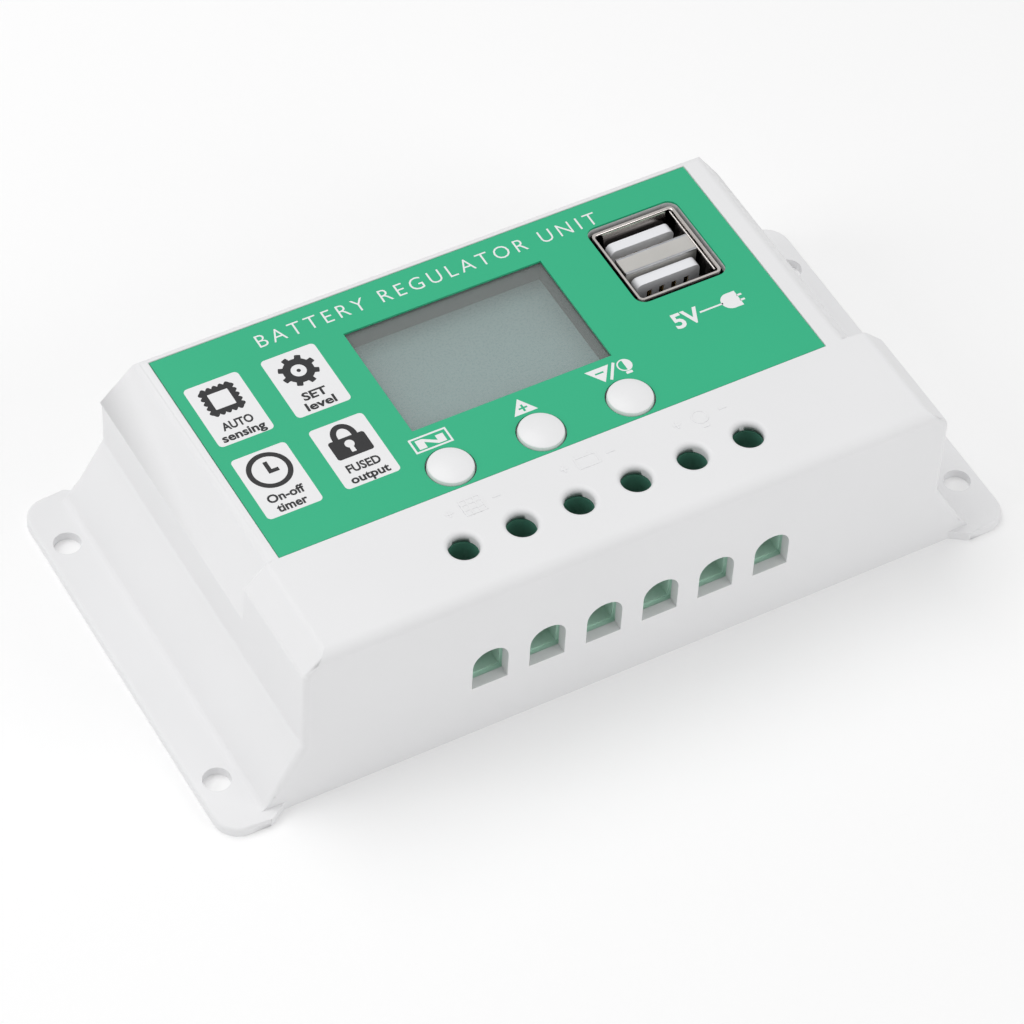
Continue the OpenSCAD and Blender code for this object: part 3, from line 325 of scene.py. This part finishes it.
glass = finishes["display_glass"].node_tree
for axis in ("X", "Y"):
    overpaint(finishes["display_glass"], add(glass, "Math", {0: stripes(glass, axis, 0.9, 0.1), 1: 0.05},
                                             operation="MULTIPLY").outputs[0], paint(120, 138, 136))
glass_y = add(glass, "SeparateXYZ", {"Vector": add(glass, "TexCoord").outputs["Object"]}).outputs["Y"]
far_shade = add(glass, "MapRange", {"Value": glass_y, "From Min": (window_low[1] + 5) * MM,
                                    "From Max": window_high[1] * MM, "To Min": 0.0, "To Max": 0.3})
overpaint(finishes["display_glass"], far_shade.outputs["Result"], paint(92, 110, 108))

board = finishes["board_green"].node_tree
cells = add(board, "TexVoronoi", {"Vector": add(board, "TexCoord").outputs["Object"],
                                  "Scale": 1 / (7 * MM)}).outputs["Color"]
chosen = add(board, "Math", {0: add(board, "SeparateColor", {"Color": cells}).outputs[0], 1: 0.5},
             operation="GREATER_THAN").outputs[0]
other = add(board, "Math", {0: 1.0, 1: chosen}, operation="SUBTRACT").outputs[0]
for mask, axis in ((chosen, "X"), (other, "Y")):
    tracks = add(board, "Math", {0: stripes(board, axis, 1.3, 0.3), 1: mask}, operation="MULTIPLY")
    overpaint(finishes["board_green"], tracks.outputs[0], paint(58, 138, 78))
print("finishes", len(finishes), "slots in the record", len(record["materials"]))

# %% [markdown]
# ## Dress the CAD parts
# The record says which finish each CAD part wears, so a loop over it dresses them all. Doing it by hand
# would be long, and a part added later would stay bare.

# %% Assign the finishes
for part in record["subparts"]:
    node = frame["nodes"][part["node"]]
    for place in node.material_slots:
        place.material = finishes[part["material_slot"]]
print("dressed", len(record["subparts"]), "parts")

sweep = surface("sweep", paint(253, 253, 253), 0.8, grain=4, depth=0.0, drift=0.004, patch=400)
floor.data.materials.append(sweep)

# %% [markdown]
# ## Helpers that make pieces
# A new piece needs the same few steps each time: vertices and faces into a mesh, doubles merged, faces
# turned outwards, a material, and the calls that tie it to its body. Writing them once keeps every
# piece closed and at the origin, with its place in its mesh.

# %% Helpers for new pieces
def new_piece(name, mesh, slot, body="housing", smooth=30):
    """Links a mesh as a piece of a body, dressed in the finish of a slot."""
    mesh.name = name
    mesh.materials.clear()
    mesh.materials.append(finishes[slot])
    mesh.shade_smooth()
    mesh.set_sharp_from_angle(angle=math.radians(smooth))
    piece = bpy.data.objects.new(name, mesh)
    bpy.context.scene.collection.objects.link(piece)
    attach(piece, body)
    return piece


def closed_mesh(name, points, faces, merge=1e-7):
    """A mesh of points in mm, with doubles merged and its faces turned outwards."""
    mesh = bpy.data.meshes.new(name)
    mesh.from_pydata((np.asarray(points) * MM).tolist(), [], faces)
    work = bmesh.new()
    work.from_mesh(mesh)
    bmesh.ops.remove_doubles(work, verts=work.verts, dist=merge)
    bmesh.ops.recalc_face_normals(work, faces=work.faces)
    work.to_mesh(mesh)
    work.free()
    return mesh


def carry(path, side, profile, loop=False):
    """A profile carried along a path: point (m, k) is path m, plus profile k's first number times the
    side vector at m, plus its second number times the vector square to both side and path."""
    path = np.asarray(path, float)
    ahead = np.roll(path, -1, 0) - np.roll(path, 1, 0)
    if not loop:
        ahead[0] = path[1] - path[0]
        ahead[-1] = path[-1] - path[-2]
    ahead /= np.linalg.norm(ahead, axis=1, keepdims=True)
    side = np.broadcast_to(np.asarray(side, float), path.shape)
    side = side - (side * ahead).sum(1, keepdims=True) * ahead
    side = side / np.linalg.norm(side, axis=1, keepdims=True)
    rise = np.cross(ahead, side)
    profile = np.asarray(profile, float)
    points = path[:, None] + profile[None, :, :1] * side[:, None] + profile[None, :, 1:] * rise[:, None]
    rings, count = len(path), len(profile)
    m, k = np.meshgrid(np.arange(rings if loop else rings - 1), np.arange(count), indexing="ij")
    after, beside = (m + 1) % rings, (k + 1) % count
    faces = np.stack([m * count + k, m * count + beside, after * count + beside, after * count + k], -1)
    faces = faces.reshape(-1, 4).tolist()
    if not loop:
        faces += [list(range(count)), list(range((rings - 1) * count, rings * count))]
    return points.reshape(-1, 3), faces


def joined(parts):
    """Several lists of points and faces as one."""
    points, faces, start = [], [], 0
    for some_points, some_faces in parts:
        points.append(np.asarray(some_points, float))
        faces += [[start + i for i in face] for face in some_faces]
        start += len(some_points)
    return np.concatenate(points), faces


def circle(radius, count=24, squash=1.0, start=0.0, sweep_angle=2 * math.pi):
    """Points of a circle or an arc: radius times cosine and sine of evenly spaced angles."""
    whole = abs(sweep_angle - 2 * math.pi) < 1e-9
    angle = start + np.linspace(0, sweep_angle, count, endpoint=not whole)
    return np.stack([radius * np.cos(angle), radius * squash * np.sin(angle)], 1)


def round_box(width, depth, radius, steps=6):
    """Outline of a rectangle with round corners: four quarter circles, one after the other."""
    quarter = [circle(radius, steps, start=math.pi / 2 * i, sweep_angle=math.pi / 2) for i in range(4)]
    inset = np.array([[1, 1], [-1, 1], [-1, -1], [1, -1]]) * [width / 2 - radius, depth / 2 - radius]
    return np.concatenate([arc + middle for arc, middle in zip(quarter, inset)])


print("piece helpers ready")

# %% [markdown]
# ## Softer edges for the case
# Moulded plastic has no sharp outer edge, because the mould's own corners are rounded and hot plastic
# shrinks from them. The CAD case has its big radii already, but the rims of its walls are sharp. A bevel
# on every edge would also round the inside, where nobody looks, and would fold over itself on the small
# arcs. So a copy of the case is merged and cleaned, each outer edge gets a weight by where it lies, and
# one bevel uses the weights. A weight of 1 stands for one millimetre. The long slanted edges run down
# to the ears, so they are cut into short lengths whose weight fades towards the ear. The wire windows
# and the edges close to the ear holes are left as they are.

# %% Weigh the edges of the case
NEAR, NEAR_STEP = 0.02, 0.05
EAR_OVER = 2.0
FRONT_Y, BACK_Y = case_low[1] + EAR_OVER, case_high[1] - EAR_OVER
STEP_Y = film_low[1]
EAR_Z = 1.8
SOFT = {"wall": 1.1, "step": 0.5, "detail": 0.16, "ear": 0.55}
FADE_H = 6.0
holes = record["mounts"][0]["dims"]
HOLE_X, HOLE_Y = holes["spacing_x_mm"] / 2, holes["spacing_y_mm"] / 2
HOLE_REACH = 3.0
RAMP_FOOT_X = 67.0
WINDOWS_X, WINDOWS_LOW, WINDOWS_HIGH = 35, 11, 21
SHELF_Z = 22
RECESS_Z, POCKET_Z = TOP_Z - 0.7, FILM_Z - 0.4
LONG_RISE, LONG_RUN = 8, 3
SHARP_TURN = math.radians(24)


def edge_weight(middle, is_level):
    """How far an outer edge is rounded, by the place of its middle in mm. 0 leaves it alone."""
    x, y, z = abs(middle[0]), middle[1], middle[2]
    if abs(y - FRONT_Y) < NEAR or abs(y - BACK_Y) < NEAR:
        if x < WINDOWS_X and WINDOWS_LOW < z < WINDOWS_HIGH and y < 0:
            return 0
        return SOFT["wall"] * min(1, max(0, (z - EAR_Z) / FADE_H))
    if abs(y - STEP_Y) < NEAR_STEP and z > SHELF_Z:
        return SOFT["step"]
    if z > RECESS_Z and abs(z - POCKET_Z) > NEAR and y > STEP_Y:
        return SOFT["detail"]
    past_hole = math.hypot(x - HOLE_X, abs(y) - HOLE_Y) > HOLE_REACH
    if is_level and abs(z - EAR_Z) < NEAR and x > RAMP_FOOT_X and past_hole:
        return SOFT["ear"]
    return 0


work = bmesh.new()
work.from_mesh(frame["nodes"]["top_case"].data)
bmesh.ops.remove_doubles(work, verts=work.verts, dist=8e-6)
bmesh.ops.dissolve_limit(work, angle_limit=math.radians(0.3), verts=work.verts, edges=work.edges)
slanted = []
for edge in work.edges:
    start, span = edge.verts[0].co / MM, (edge.verts[1].co - edge.verts[0].co) / MM
    on_wall = abs(abs(start.y) + FRONT_Y) < NEAR and abs(span.y) < 0.001
    if on_wall and abs(span.z) > LONG_RISE and abs(span.x) > LONG_RUN:
        slanted.append(edge)
bmesh.ops.bisect_edges(work, edges=slanted, cuts=5)
print("slanted edges", len(slanted))
weights = work.edges.layers.float.new("bevel_weight_edge")
rounded_edges = 0
for edge in work.edges:
    if edge.is_convex and edge.calc_face_angle(0) > SHARP_TURN:
        ends = [vertex.co / MM for vertex in edge.verts]
        edge[weights] = edge_weight((ends[0] + ends[1]) / 2, abs(ends[0].z - ends[1].z) < 0.01)
        rounded_edges += edge[weights] > 0
case_mesh = bpy.data.meshes.new("case_soft")
work.to_mesh(case_mesh)
work.free()
print("edges to round", rounded_edges)

# %% [markdown]
# ## Round the edges and keep the flats flat
# The bevel gives each weighted edge an arc of four strips. Faces with more than four corners are then
# cut into triangles, so that every program fills them alike. Smooth shading alone would make the large flats
# look swollen next to the arcs, so the normals are weighted by area, which leaves the flats flat.

# %% Bevel and shade the case
rough_case = bpy.data.objects.new("case_rough", case_mesh)
bpy.context.scene.collection.objects.link(rough_case)
bevel = rough_case.modifiers.new("rounding", "BEVEL")
bevel.limit_method = "WEIGHT"
bevel.width = 1.0 * MM
bevel.segments = 4
bevel.use_clamp_overlap = False
bevel.miter_outer = "MITER_ARC"
seen = rough_case.evaluated_get(bpy.context.evaluated_depsgraph_get())
case_mesh = bpy.data.meshes.new_from_object(seen)
bpy.data.objects.remove(rough_case)
work = bmesh.new()
work.from_mesh(case_mesh)
bmesh.ops.dissolve_degenerate(work, dist=2e-6, edges=work.edges)
bmesh.ops.triangulate(work, faces=[face for face in work.faces if len(face.verts) > 4])
work.to_mesh(case_mesh)
work.free()
case = new_piece("case_soft", case_mesh, "case_white", smooth=32)
flats = case.modifiers.new("flats", "WEIGHTED_NORMAL")
flats.keep_sharp = True
flats.weight = 90
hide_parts("top_case")
print("case faces", len(case_mesh.polygons))

# %% [markdown]
# ## Flat print from outlines
# The film carries white and dark print. An image would be the usual way, but thin closed plates stay
# crisp at any distance and need no picture file. Each plate is a filled curve with a small height, and
# text is a text curve with the same height. Both become meshes before they are moved to their place.

# %% Helpers for print
PLATE = 0.03
FONT_SIZE = 10
CAPITAL = 0.729


def filled(outlines, low_z, high=PLATE):
    """A closed plate of the given outlines and height in mm. An outline inside another makes a hole."""
    curve = bpy.data.curves.new("outline", "CURVE")
    curve.dimensions = "2D"
    curve.fill_mode = "BOTH"
    curve.extrude = high / 2
    for outline in outlines:
        spline = curve.splines.new("POLY")
        spline.points.add(len(outline) - 1)
        flat = np.column_stack([np.asarray(outline, float), np.zeros(len(outline)), np.ones(len(outline))])
        spline.points.foreach_set("co", flat.ravel())
        spline.use_cyclic_u = True
    points, faces = mesh_of(curve)
    return points + [0, 0, low_z + high / 2], faces


def mesh_of(curve):
    """Points and faces of a curve's or a text's mesh, in the curve's own units."""
    holder = bpy.data.objects.new("holder", curve)
    bpy.context.scene.collection.objects.link(holder)
    bpy.context.view_layer.update()
    mesh = bpy.data.meshes.new_from_object(holder.evaluated_get(bpy.context.evaluated_depsgraph_get()))
    points = np.zeros(len(mesh.vertices) * 3)
    mesh.vertices.foreach_get("co", points)
    faces = [list(face.vertices) for face in mesh.polygons]
    bpy.data.objects.remove(holder)
    bpy.data.curves.remove(curve)
    return points.reshape(-1, 3), faces


def words(text, centre_x, base_y, height, low_z, width=None, bold=0.0, spread=1.0):
    """A line of text as a closed plate: capitals of the given height, centred, on a base line."""
    line = bpy.data.curves.new("line", "FONT")
    line.body = text
    line.size = FONT_SIZE
    line.offset = bold
    line.resolution_u = 3
    line.space_character = spread
    line.extrude = 0.5
    points, faces = mesh_of(line)
    scale_y = height / (CAPITAL * FONT_SIZE)
    wide = points[:, 0].max() - points[:, 0].min()
    scale_x = width / wide if width else scale_y
    middle = (points[:, 0].max() + points[:, 0].min()) / 2
    points = (points - [middle, 0, -0.5]) * [scale_x, scale_y, PLATE]
    return points + [centre_x, base_y, low_z], faces


print("print helpers ready")

# %% [markdown]
# ## Four tiles and their signs
# Left of the window are four white tiles, each with a dark sign over two short lines of text. The
# signs are a scalloped frame, a cog, a clock and a padlock. All are general signs worked out from
# circles, boxes and waves, and the words are general too: they name what a regulator does.

# %% Outlines of the signs
def cog(radius, tooth, teeth=8, count=240):
    """A cog: the radius grows by the height of a tooth wherever a cosine of the angle is high."""
    angle = np.linspace(0, 2 * math.pi, count, endpoint=False)
    swell = 1 / (1 + np.exp(-14 * (np.cos(teeth * angle + math.pi) - 0.15)))
    reach = radius + tooth * swell
    return np.stack([reach * np.cos(angle), reach * np.sin(angle)], 1)


def scallops(half, bulge, lobes=5, count=40):
    """A square whose four sides are rows of half-round lobes: the distance from the side's line is
    the bulge times the size of a sine."""
    share = np.linspace(0, 1, count, endpoint=False)
    side = np.stack([half - 2 * half * share, half + bulge * np.abs(np.sin(math.pi * lobes * share))], 1)
    rows = [side]
    for _ in range(3):
        rows.append(np.stack([-rows[-1][:, 1], rows[-1][:, 0]], 1))
    return np.concatenate(rows)


def bar(x0, y0, x1, y1, width):
    """A straight bar from one point to another."""
    start, end = np.array([x0, y0], float), np.array([x1, y1], float)
    across = np.array([y0 - y1, x1 - x0]) / math.hypot(x1 - x0, y1 - y0) * width / 2
    return np.array([start + across, start - across, end - across, end + across])


def moved(outlines, x, y):
    """Outlines moved by x and y."""
    return [np.asarray(outline) + [x, y] for outline in outlines]


def frame_sign():
    """A scalloped frame round a square opening."""
    return [scallops(2.75, 0.5), round_box(3.7, 3.6, 0.1, 2)]


def cog_sign():
    """A cog with a round hole and a dot in its middle."""
    return [cog(2.7, 0.75), circle(1.35), circle(0.36, 12)]


def clock_sign():
    """A round clock face with two hands."""
    hands = np.array([[-0.4, 1.9], [-0.4, -0.7], [1.5, -0.7], [1.5, 0.05], [0.35, 0.05], [0.35, 1.9]])
    return [circle(3.85, 64), circle(2.95, 64), hands]


def lock_sign():
    """A padlock: its body with a keyhole, and its shackle as a group of its own."""
    body = round_box(6.6, 4.2, 0.5) - [0, 1.3]
    arch = circle(2.25, 24, 1.2, 0, math.pi) + [0, 1.1]
    inner = circle(1.2, 20, 1.4, math.pi, -math.pi) + [0, 1.1]
    shackle = np.concatenate([arch, [[-2.25, 0.8], [-1.2, 0.8]], inner, [[1.2, 0.8], [2.25, 0.8]]])
    keyhole = np.concatenate([circle(0.85, 20, 1, -1.1, 2 * math.pi - 0.95) - [0, 0.75],
                              [[-0.42, -2.6], [0.42, -2.6]]])
    return [body, keyhole], [shackle]


print("signs", len(cog(2.7, 0.75)), "points in the cog")

# %% [markdown]
# ## Where the tiles go
# The tiles stand in two columns and two rows, measured from the film's left and back edges. Each one
# is a white plate, and its dark sign and its two dark lines of text lie on it. They start just inside
# the white plate and end above it, so that no two faces share a plane.

# %% Place the tiles
TILE_W, TILE_D, TILE_R = 10.0, 14.0, 0.8
TILE_X = (LEFT + 7.05, LEFT + 21.2)
TILE_Y = (BACK - 15.0, BACK - 32.3)
SIGN_UP = 2.5
LINE_1_DOWN, LINE_2_DOWN = 4.0, 6.3
WORD_HEIGHT = 1.75
TILES = [(0, 0, frame_sign, ("AUTO", 5.6), ("sensing", 7.8)),
         (1, 0, cog_sign, ("SET", 4.4), ("level", 5.4)),
         (0, 1, clock_sign, ("On-off", 6.6), ("timer", 5.4)),
         (1, 1, lock_sign, ("FUSED", 6.0), ("output", 7.0))]
WHITE_SUNK, DARK_SUNK = 0.01, 0.005

white_z = FILM_Z - WHITE_SUNK
dark_z = white_z + PLATE - DARK_SUNK
white_plates, dark_plates = [], []
for column, row, sign, (first, first_w), (second, second_w) in TILES:
    x, y = TILE_X[column], TILE_Y[row]
    white_plates.append(filled(moved([round_box(TILE_W, TILE_D, TILE_R)], x, y), white_z))
    outlines = sign()
    groups = outlines if isinstance(outlines, tuple) else (outlines,)
    dark_plates += [filled(moved(group, x, y + SIGN_UP), dark_z) for group in groups]
    dark_plates.append(words(first, x, y - LINE_1_DOWN, WORD_HEIGHT, dark_z, first_w, bold=0.28))
    dark_plates.append(words(second, x, y - LINE_2_DOWN, WORD_HEIGHT, dark_z, second_w, bold=0.28))
print("tiles", len(white_plates), "dark plates", len(dark_plates))

# %% [markdown]
# ## Title and legends
# A thin white line of capitals runs along the back edge. Each button has a white legend above it: a
# boxed sign for the menu, a triangle with a plus, and a triangle with a minus beside a lamp. The port
# has its voltage and a plug on a lead.

# %% Title, button legends and port legend
TITLE_X, TITLE_WIDTH, TITLE_DOWN = LEFT + 50.2, 64.6, 5.2
white_plates.append(words("BATTERY REGULATOR UNIT", TITLE_X, BACK - TITLE_DOWN, 3.0, white_z, TITLE_WIDTH,
                          bold=-0.08, spread=1.35))

cap_x = [(low[0] + high[0]) / 2 for low, high in caps]
LEGEND_Y = (caps[0][0][1] + caps[0][1][1]) / 2 + 6.45
LEGEND_H = 3.3
menu_x, up_x, down_x = cap_x[0] - 0.2, cap_x[1] - 0.1, cap_x[2] - 1.9
wave = np.array([[-2.5, -1.05], [-2.5, 1.0], [-1.2, 1.0], [1.1, -0.35], [1.1, 0.7], [2.5, 0.7], [2.5, -1.05],
                 [1.0, -1.05], [-1.1, 0.25], [-1.1, -1.05]])
menu = [round_box(6.9, LEGEND_H, 0.05, 2), round_box(6.2, LEGEND_H - 0.7, 0.05, 2), wave]
plus = [[-0.2, 0.75], [-0.2, 0.15], [-0.8, 0.15], [-0.8, -0.2], [-0.2, -0.2], [-0.2, -0.8], [0.2, -0.8],
        [0.2, -0.2], [0.8, -0.2], [0.8, 0.15], [0.2, 0.15], [0.2, 0.75]]
rise = [np.array([[-2.2, -1.65], [2.2, -1.65], [0, 1.65]]), np.array(plus) - [0, 0.45]]
fall = [np.array([[-2.25, 1.65], [0, -1.65], [2.25, 1.65]]), bar(-0.8, 0.55, 0.8, 0.55, 0.35)]
slash = [bar(1.15, -1.6, 3.2, 1.6, 0.5)]
bulb_x, bulb_y = 4.65, 0.3
half = circle(1.1, 20, 1, math.pi / 2, math.pi)
lamp_ring = [circle(1.35, 32), half]
lamp_foot = [round_box(1.2, 0.55, 0.15, 3)]
for outlines, x, y in ((menu, menu_x, 0), (rise, up_x, 0), (fall, down_x, 0), (slash, down_x, 0),
                       (lamp_ring, down_x + bulb_x, bulb_y), (lamp_foot, down_x + bulb_x, bulb_y - 1.7)):
    white_plates.append(filled(moved(outlines, x, LEGEND_Y + y), white_z))

port_x = (port_low[0] + port_high[0]) / 2
port_y = (port_low[1] + port_high[1]) / 2 - 15.6
VOLT_X, VOLT_H = port_x - 3.2, 3.4
LEAD_FROM, LEAD_TO, LEAD_W = port_x - 0.6, port_x + 3.9, 0.35
PLUG_X, PLUG_END, PLUG_R = port_x + 5.4, port_x + 7.0, 1.75
PIN_FROM, PIN_TO, PIN_W = port_x + 6.9, port_x + 7.8, 0.4
white_plates.append(words("5V", VOLT_X, port_y - VOLT_H / 2, VOLT_H, white_z, bold=0.25))
lead = bar(LEAD_FROM, port_y, LEAD_TO, port_y, LEAD_W)
plug = np.concatenate([circle(PLUG_R, 20, 1, math.pi / 2, math.pi) + [PLUG_X, port_y],
                       [[PLUG_END, port_y - PLUG_R], [PLUG_END, port_y + PLUG_R]]])
pins = [bar(PIN_FROM, port_y + up, PIN_TO, port_y + up, PIN_W) for up in (-0.6, 0.6)]
for outlines in ([lead], [plug], [pins[0]], [pins[1]]):
    white_plates.append(filled(outlines, white_z))

white_print = new_piece("film_print_white", closed_mesh("white", *joined(white_plates)), "cap_white")
dark_print = new_piece("film_print_dark", closed_mesh("dark", *joined(dark_plates)), "plunger_black")
print("print faces", len(white_print.data.polygons), len(dark_print.data.polygons))

# %% [markdown]
# ## Raised signs on the shelf
# Between the film and the screwdriver holes the case carries low moulded signs for the three pairs of
# terminals: a panel, a battery and a lamp, each between a plus and a minus. They are the case's own
# white, so only their edges show. They are made like the print, only higher, and each mark of a sign
# stands a hair above the one before it, so that marks that cross have no face in common.

# %% Mould the signs
def frame_of(width, depth, line):
    """A rectangular outline drawn with a line of the given width."""
    return [round_box(width, depth, 0.1, 2), round_box(width - 2 * line, depth - 2 * line, 0.05, 2)]


SIGN_H, SIGN_SUNK, SIGN_RISE = 0.14, 0.06, 0.003
SIGN_Y = film_low[1] - 4.3
SIGN_LINE = 0.32
clamps = [corners(f"terminal_screw_{i}") for i in range(1, 7)]
pair_x = [(clamps[i][0][0] + clamps[i + 1][1][0]) / 2 for i in (0, 2, 4)]
raised = []
panel = [[frame_of(4.0, 3.6, SIGN_LINE)], [[bar(-2, y, 2, y, 0.25)] for y in (-0.6, 0.6)],
         [[bar(x, -1.8, x, 1.8, 0.25)] for x in (-0.67, 0.67)]]
battery = [[frame_of(4.2, 2.6, SIGN_LINE)], [[round_box(0.8, 0.5, 0.05, 2) + [x, 1.5]] for x in (-1.2, 1.2)]]
bulb = [[[circle(1.5, 32), circle(1.2, 32)]], [[round_box(1.2, 0.9, 0.1, 2) - [0, 2.0]]]]
for x, sign in zip(pair_x, (panel, battery, bulb)):
    marks = [piece for group in sign for piece in group]
    marks += [[bar(-5.0, 0, -3.6, 0, SIGN_LINE)], [bar(-4.3, -0.7, -4.3, 0.7, SIGN_LINE)],
              [bar(3.6, 0, 5.0, 0, SIGN_LINE)]]
    for level, outlines in enumerate(marks):
        raised.append(filled(moved(outlines, x, SIGN_Y), TOP_Z - SIGN_SUNK + SIGN_RISE * level, SIGN_H))
signs = new_piece("case_signs", closed_mesh("signs", *joined(raised)), "case_white")
print("raised faces", len(signs.data.polygons))

# %% [markdown]
# ## The folds of the port
# The port is a box of folded nickel sheet. Its rim is not a cut edge: the sheet is rolled over, and
# spring fingers stand inside the walls to hold the plug, one on each long wall and two on each short
# one. The rim is one rounded profile carried round the mouth. Each finger is a flat profile carried
# down a curve that bows inwards, which is how the pressed steel looks. A narrow lip lies above the
# right-hand fingers. Boxes would be quicker, but the bright lines along the folds come from curvature.

# %% Roll the rim and bend the fingers
SHEET = 0.4
RIM_W, RIM_H = 0.5, 0.5
FINGER_W, SIDE_FINGER_W = 12.4, 3.6
SIDE_SHARE = 0.27
LIP_IN, LIP_SHORT, LIP_DOWN = 0.55, 0.6, 0.35
LIP_W, LIP_H, LIP_R = 0.28, 0.5, 0.12
port_mid = (port_low + port_high) / 2
port_size = port_high - port_low


def level_path(outline, z):
    """A flat outline as a path at one height."""
    return np.column_stack([outline, np.full(len(outline), z)])


def rim(width, depth, z, radius=0.9):
    """A rolled edge: an oval profile carried round a rectangle with round corners."""
    outline = round_box(width - RIM_W, depth - RIM_W, radius) + port_mid[:2]
    path = level_path(outline, z)
    outward = path - [port_mid[0], port_mid[1], z]
    return carry(path, (0, 0, 1), circle(1, 16) * [RIM_H / 2, RIM_W / 2], loop=True)


def finger(x, y, inward, width, z, bow=0.7, length=6.0, lean=0.35):
    """A spring finger: a flat profile carried down a curve whose distance from the wall grows as a
    half sine of its length, and whose top leans back to the wall."""
    share = np.linspace(0, 1, 24)
    inward = np.array([*inward, 0.0])
    across = np.array([-inward[1], inward[0], 0.0])
    away = lean + bow * np.sin(math.pi * share)
    path = np.array([x, y, z]) + away[:, None] * inward - (share * length)[:, None] * [0, 0, 1]
    return carry(path, across, round_box(width, 0.3, 0.12, 4))


top = port_high[2]
folds = [rim(port_size[0], port_size[1], top - RIM_H / 2)]
inner_x, inner_y = port_size[0] / 2 - SHEET, port_size[1] / 2 - SHEET
folds.append(finger(port_mid[0], port_mid[1] + inner_y, (0, -1), FINGER_W, top - 0.05, lean=0.45))
folds.append(finger(port_mid[0], port_mid[1] - inner_y, (0, 1), FINGER_W, top - 0.9, lean=0.3))
for share in (-SIDE_SHARE, SIDE_SHARE):
    y = port_mid[1] + share * port_size[1]
    folds.append(finger(port_mid[0] + inner_x, y, (-1, 0), SIDE_FINGER_W, top - 0.7, bow=0.35, lean=0.25))
    folds.append(finger(port_mid[0] - inner_x, y, (1, 0), SIDE_FINGER_W, top - 0.9, bow=0.35, lean=0.25))
lip = [[port_mid[0] + inner_x - LIP_IN, port_mid[1] + s * (inner_y - LIP_SHORT), top - LIP_DOWN]
       for s in (-1, -0.5, 0, 0.5, 1)]
folds.append(carry(lip, (1, 0, 0), round_box(LIP_W, LIP_H, LIP_R, 4)))
port_folds = new_piece("port_folds", closed_mesh("folds", *joined(folds)), "port_nickel", smooth=50)
print("fold faces", len(port_folds.data.polygons))

# %% [markdown]
# ## The fold of the divider
# The plate between the two sockets is bent down along its long edges, so a bright line runs along each
# bend. A small round profile carried along both edges gives the bend its radius.

# %% Fold the divider's edges
plate_low, plate_high = corners("port_divider")
BEND_R = 0.22
bends = []
for y in (plate_low[1] + BEND_R, plate_high[1] - BEND_R):
    ends = [[x, y, plate_high[2] - BEND_R + 0.04] for x in np.linspace(plate_low[0], plate_high[0], 6)]
    bends.append(carry(ends, (0, 1, 0), circle(BEND_R + 0.03, 14)))
plate_bends = new_piece("port_divider_bends", closed_mesh("bends", *joined(bends)), "screw_steel", smooth=50)
print("bend faces", len(plate_bends.data.polygons))

# %% [markdown]
# ## A wound coil
# The choke on the main board is a ring of ferrite with copper wire wound through it. The CAD model has
# one plain ring in its place. A real winding is one wire: its path goes round the core's section many
# times while it goes once round the ring. The section is a rectangle with round corners, so the wire
# lies against the core, and the path is the sum of the two turns.

# %% Wind the coil
coil_low, coil_high = corners("inductor_winding")
core_low, core_high = corners("inductor_core")
COIL_TURNS = 22
WIRE_R = 0.36
STEPS = 44
CORE_HALF_W, CORE_HALF_H, WIRE_GAP = 1.2, 1.8, 0.02
CORNER_POWER = 4.0


def winding():
    """A wire round a ring: at ring angle a and section angle b = turns times a, the wire's middle is at
    the ring's radius plus the section outline's reach, and at the section outline's height."""
    middle = (coil_low + coil_high) / 2
    ring = (core_high[0] - core_low[0]) / 2 - CORE_HALF_W
    half_w, half_h = CORE_HALF_W + WIRE_R + WIRE_GAP, CORE_HALF_H + WIRE_R + WIRE_GAP
    a = np.linspace(0, 2 * math.pi, COIL_TURNS * STEPS, endpoint=False)
    b = COIL_TURNS * a
    corner = np.abs(np.cos(b)) ** CORNER_POWER + np.abs(np.sin(b)) ** CORNER_POWER
    reach = corner ** (-1 / CORNER_POWER)
    away, up = half_w * reach * np.cos(b), half_h * reach * np.sin(b)
    radial = np.stack([np.cos(a), np.sin(a), np.zeros_like(a)], 1)
    path = middle + (ring + away)[:, None] * radial + up[:, None] * [0, 0, 1]
    outward = np.cos(b)[:, None] * radial + np.sin(b)[:, None] * [0, 0, 1]
    return carry(path, outward, circle(WIRE_R, 10), loop=True)


coil = new_piece("coil_winding", closed_mesh("coil", *winding()), "winding_copper", smooth=60)
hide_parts("inductor_winding")
print("coil faces", len(coil.data.polygons))
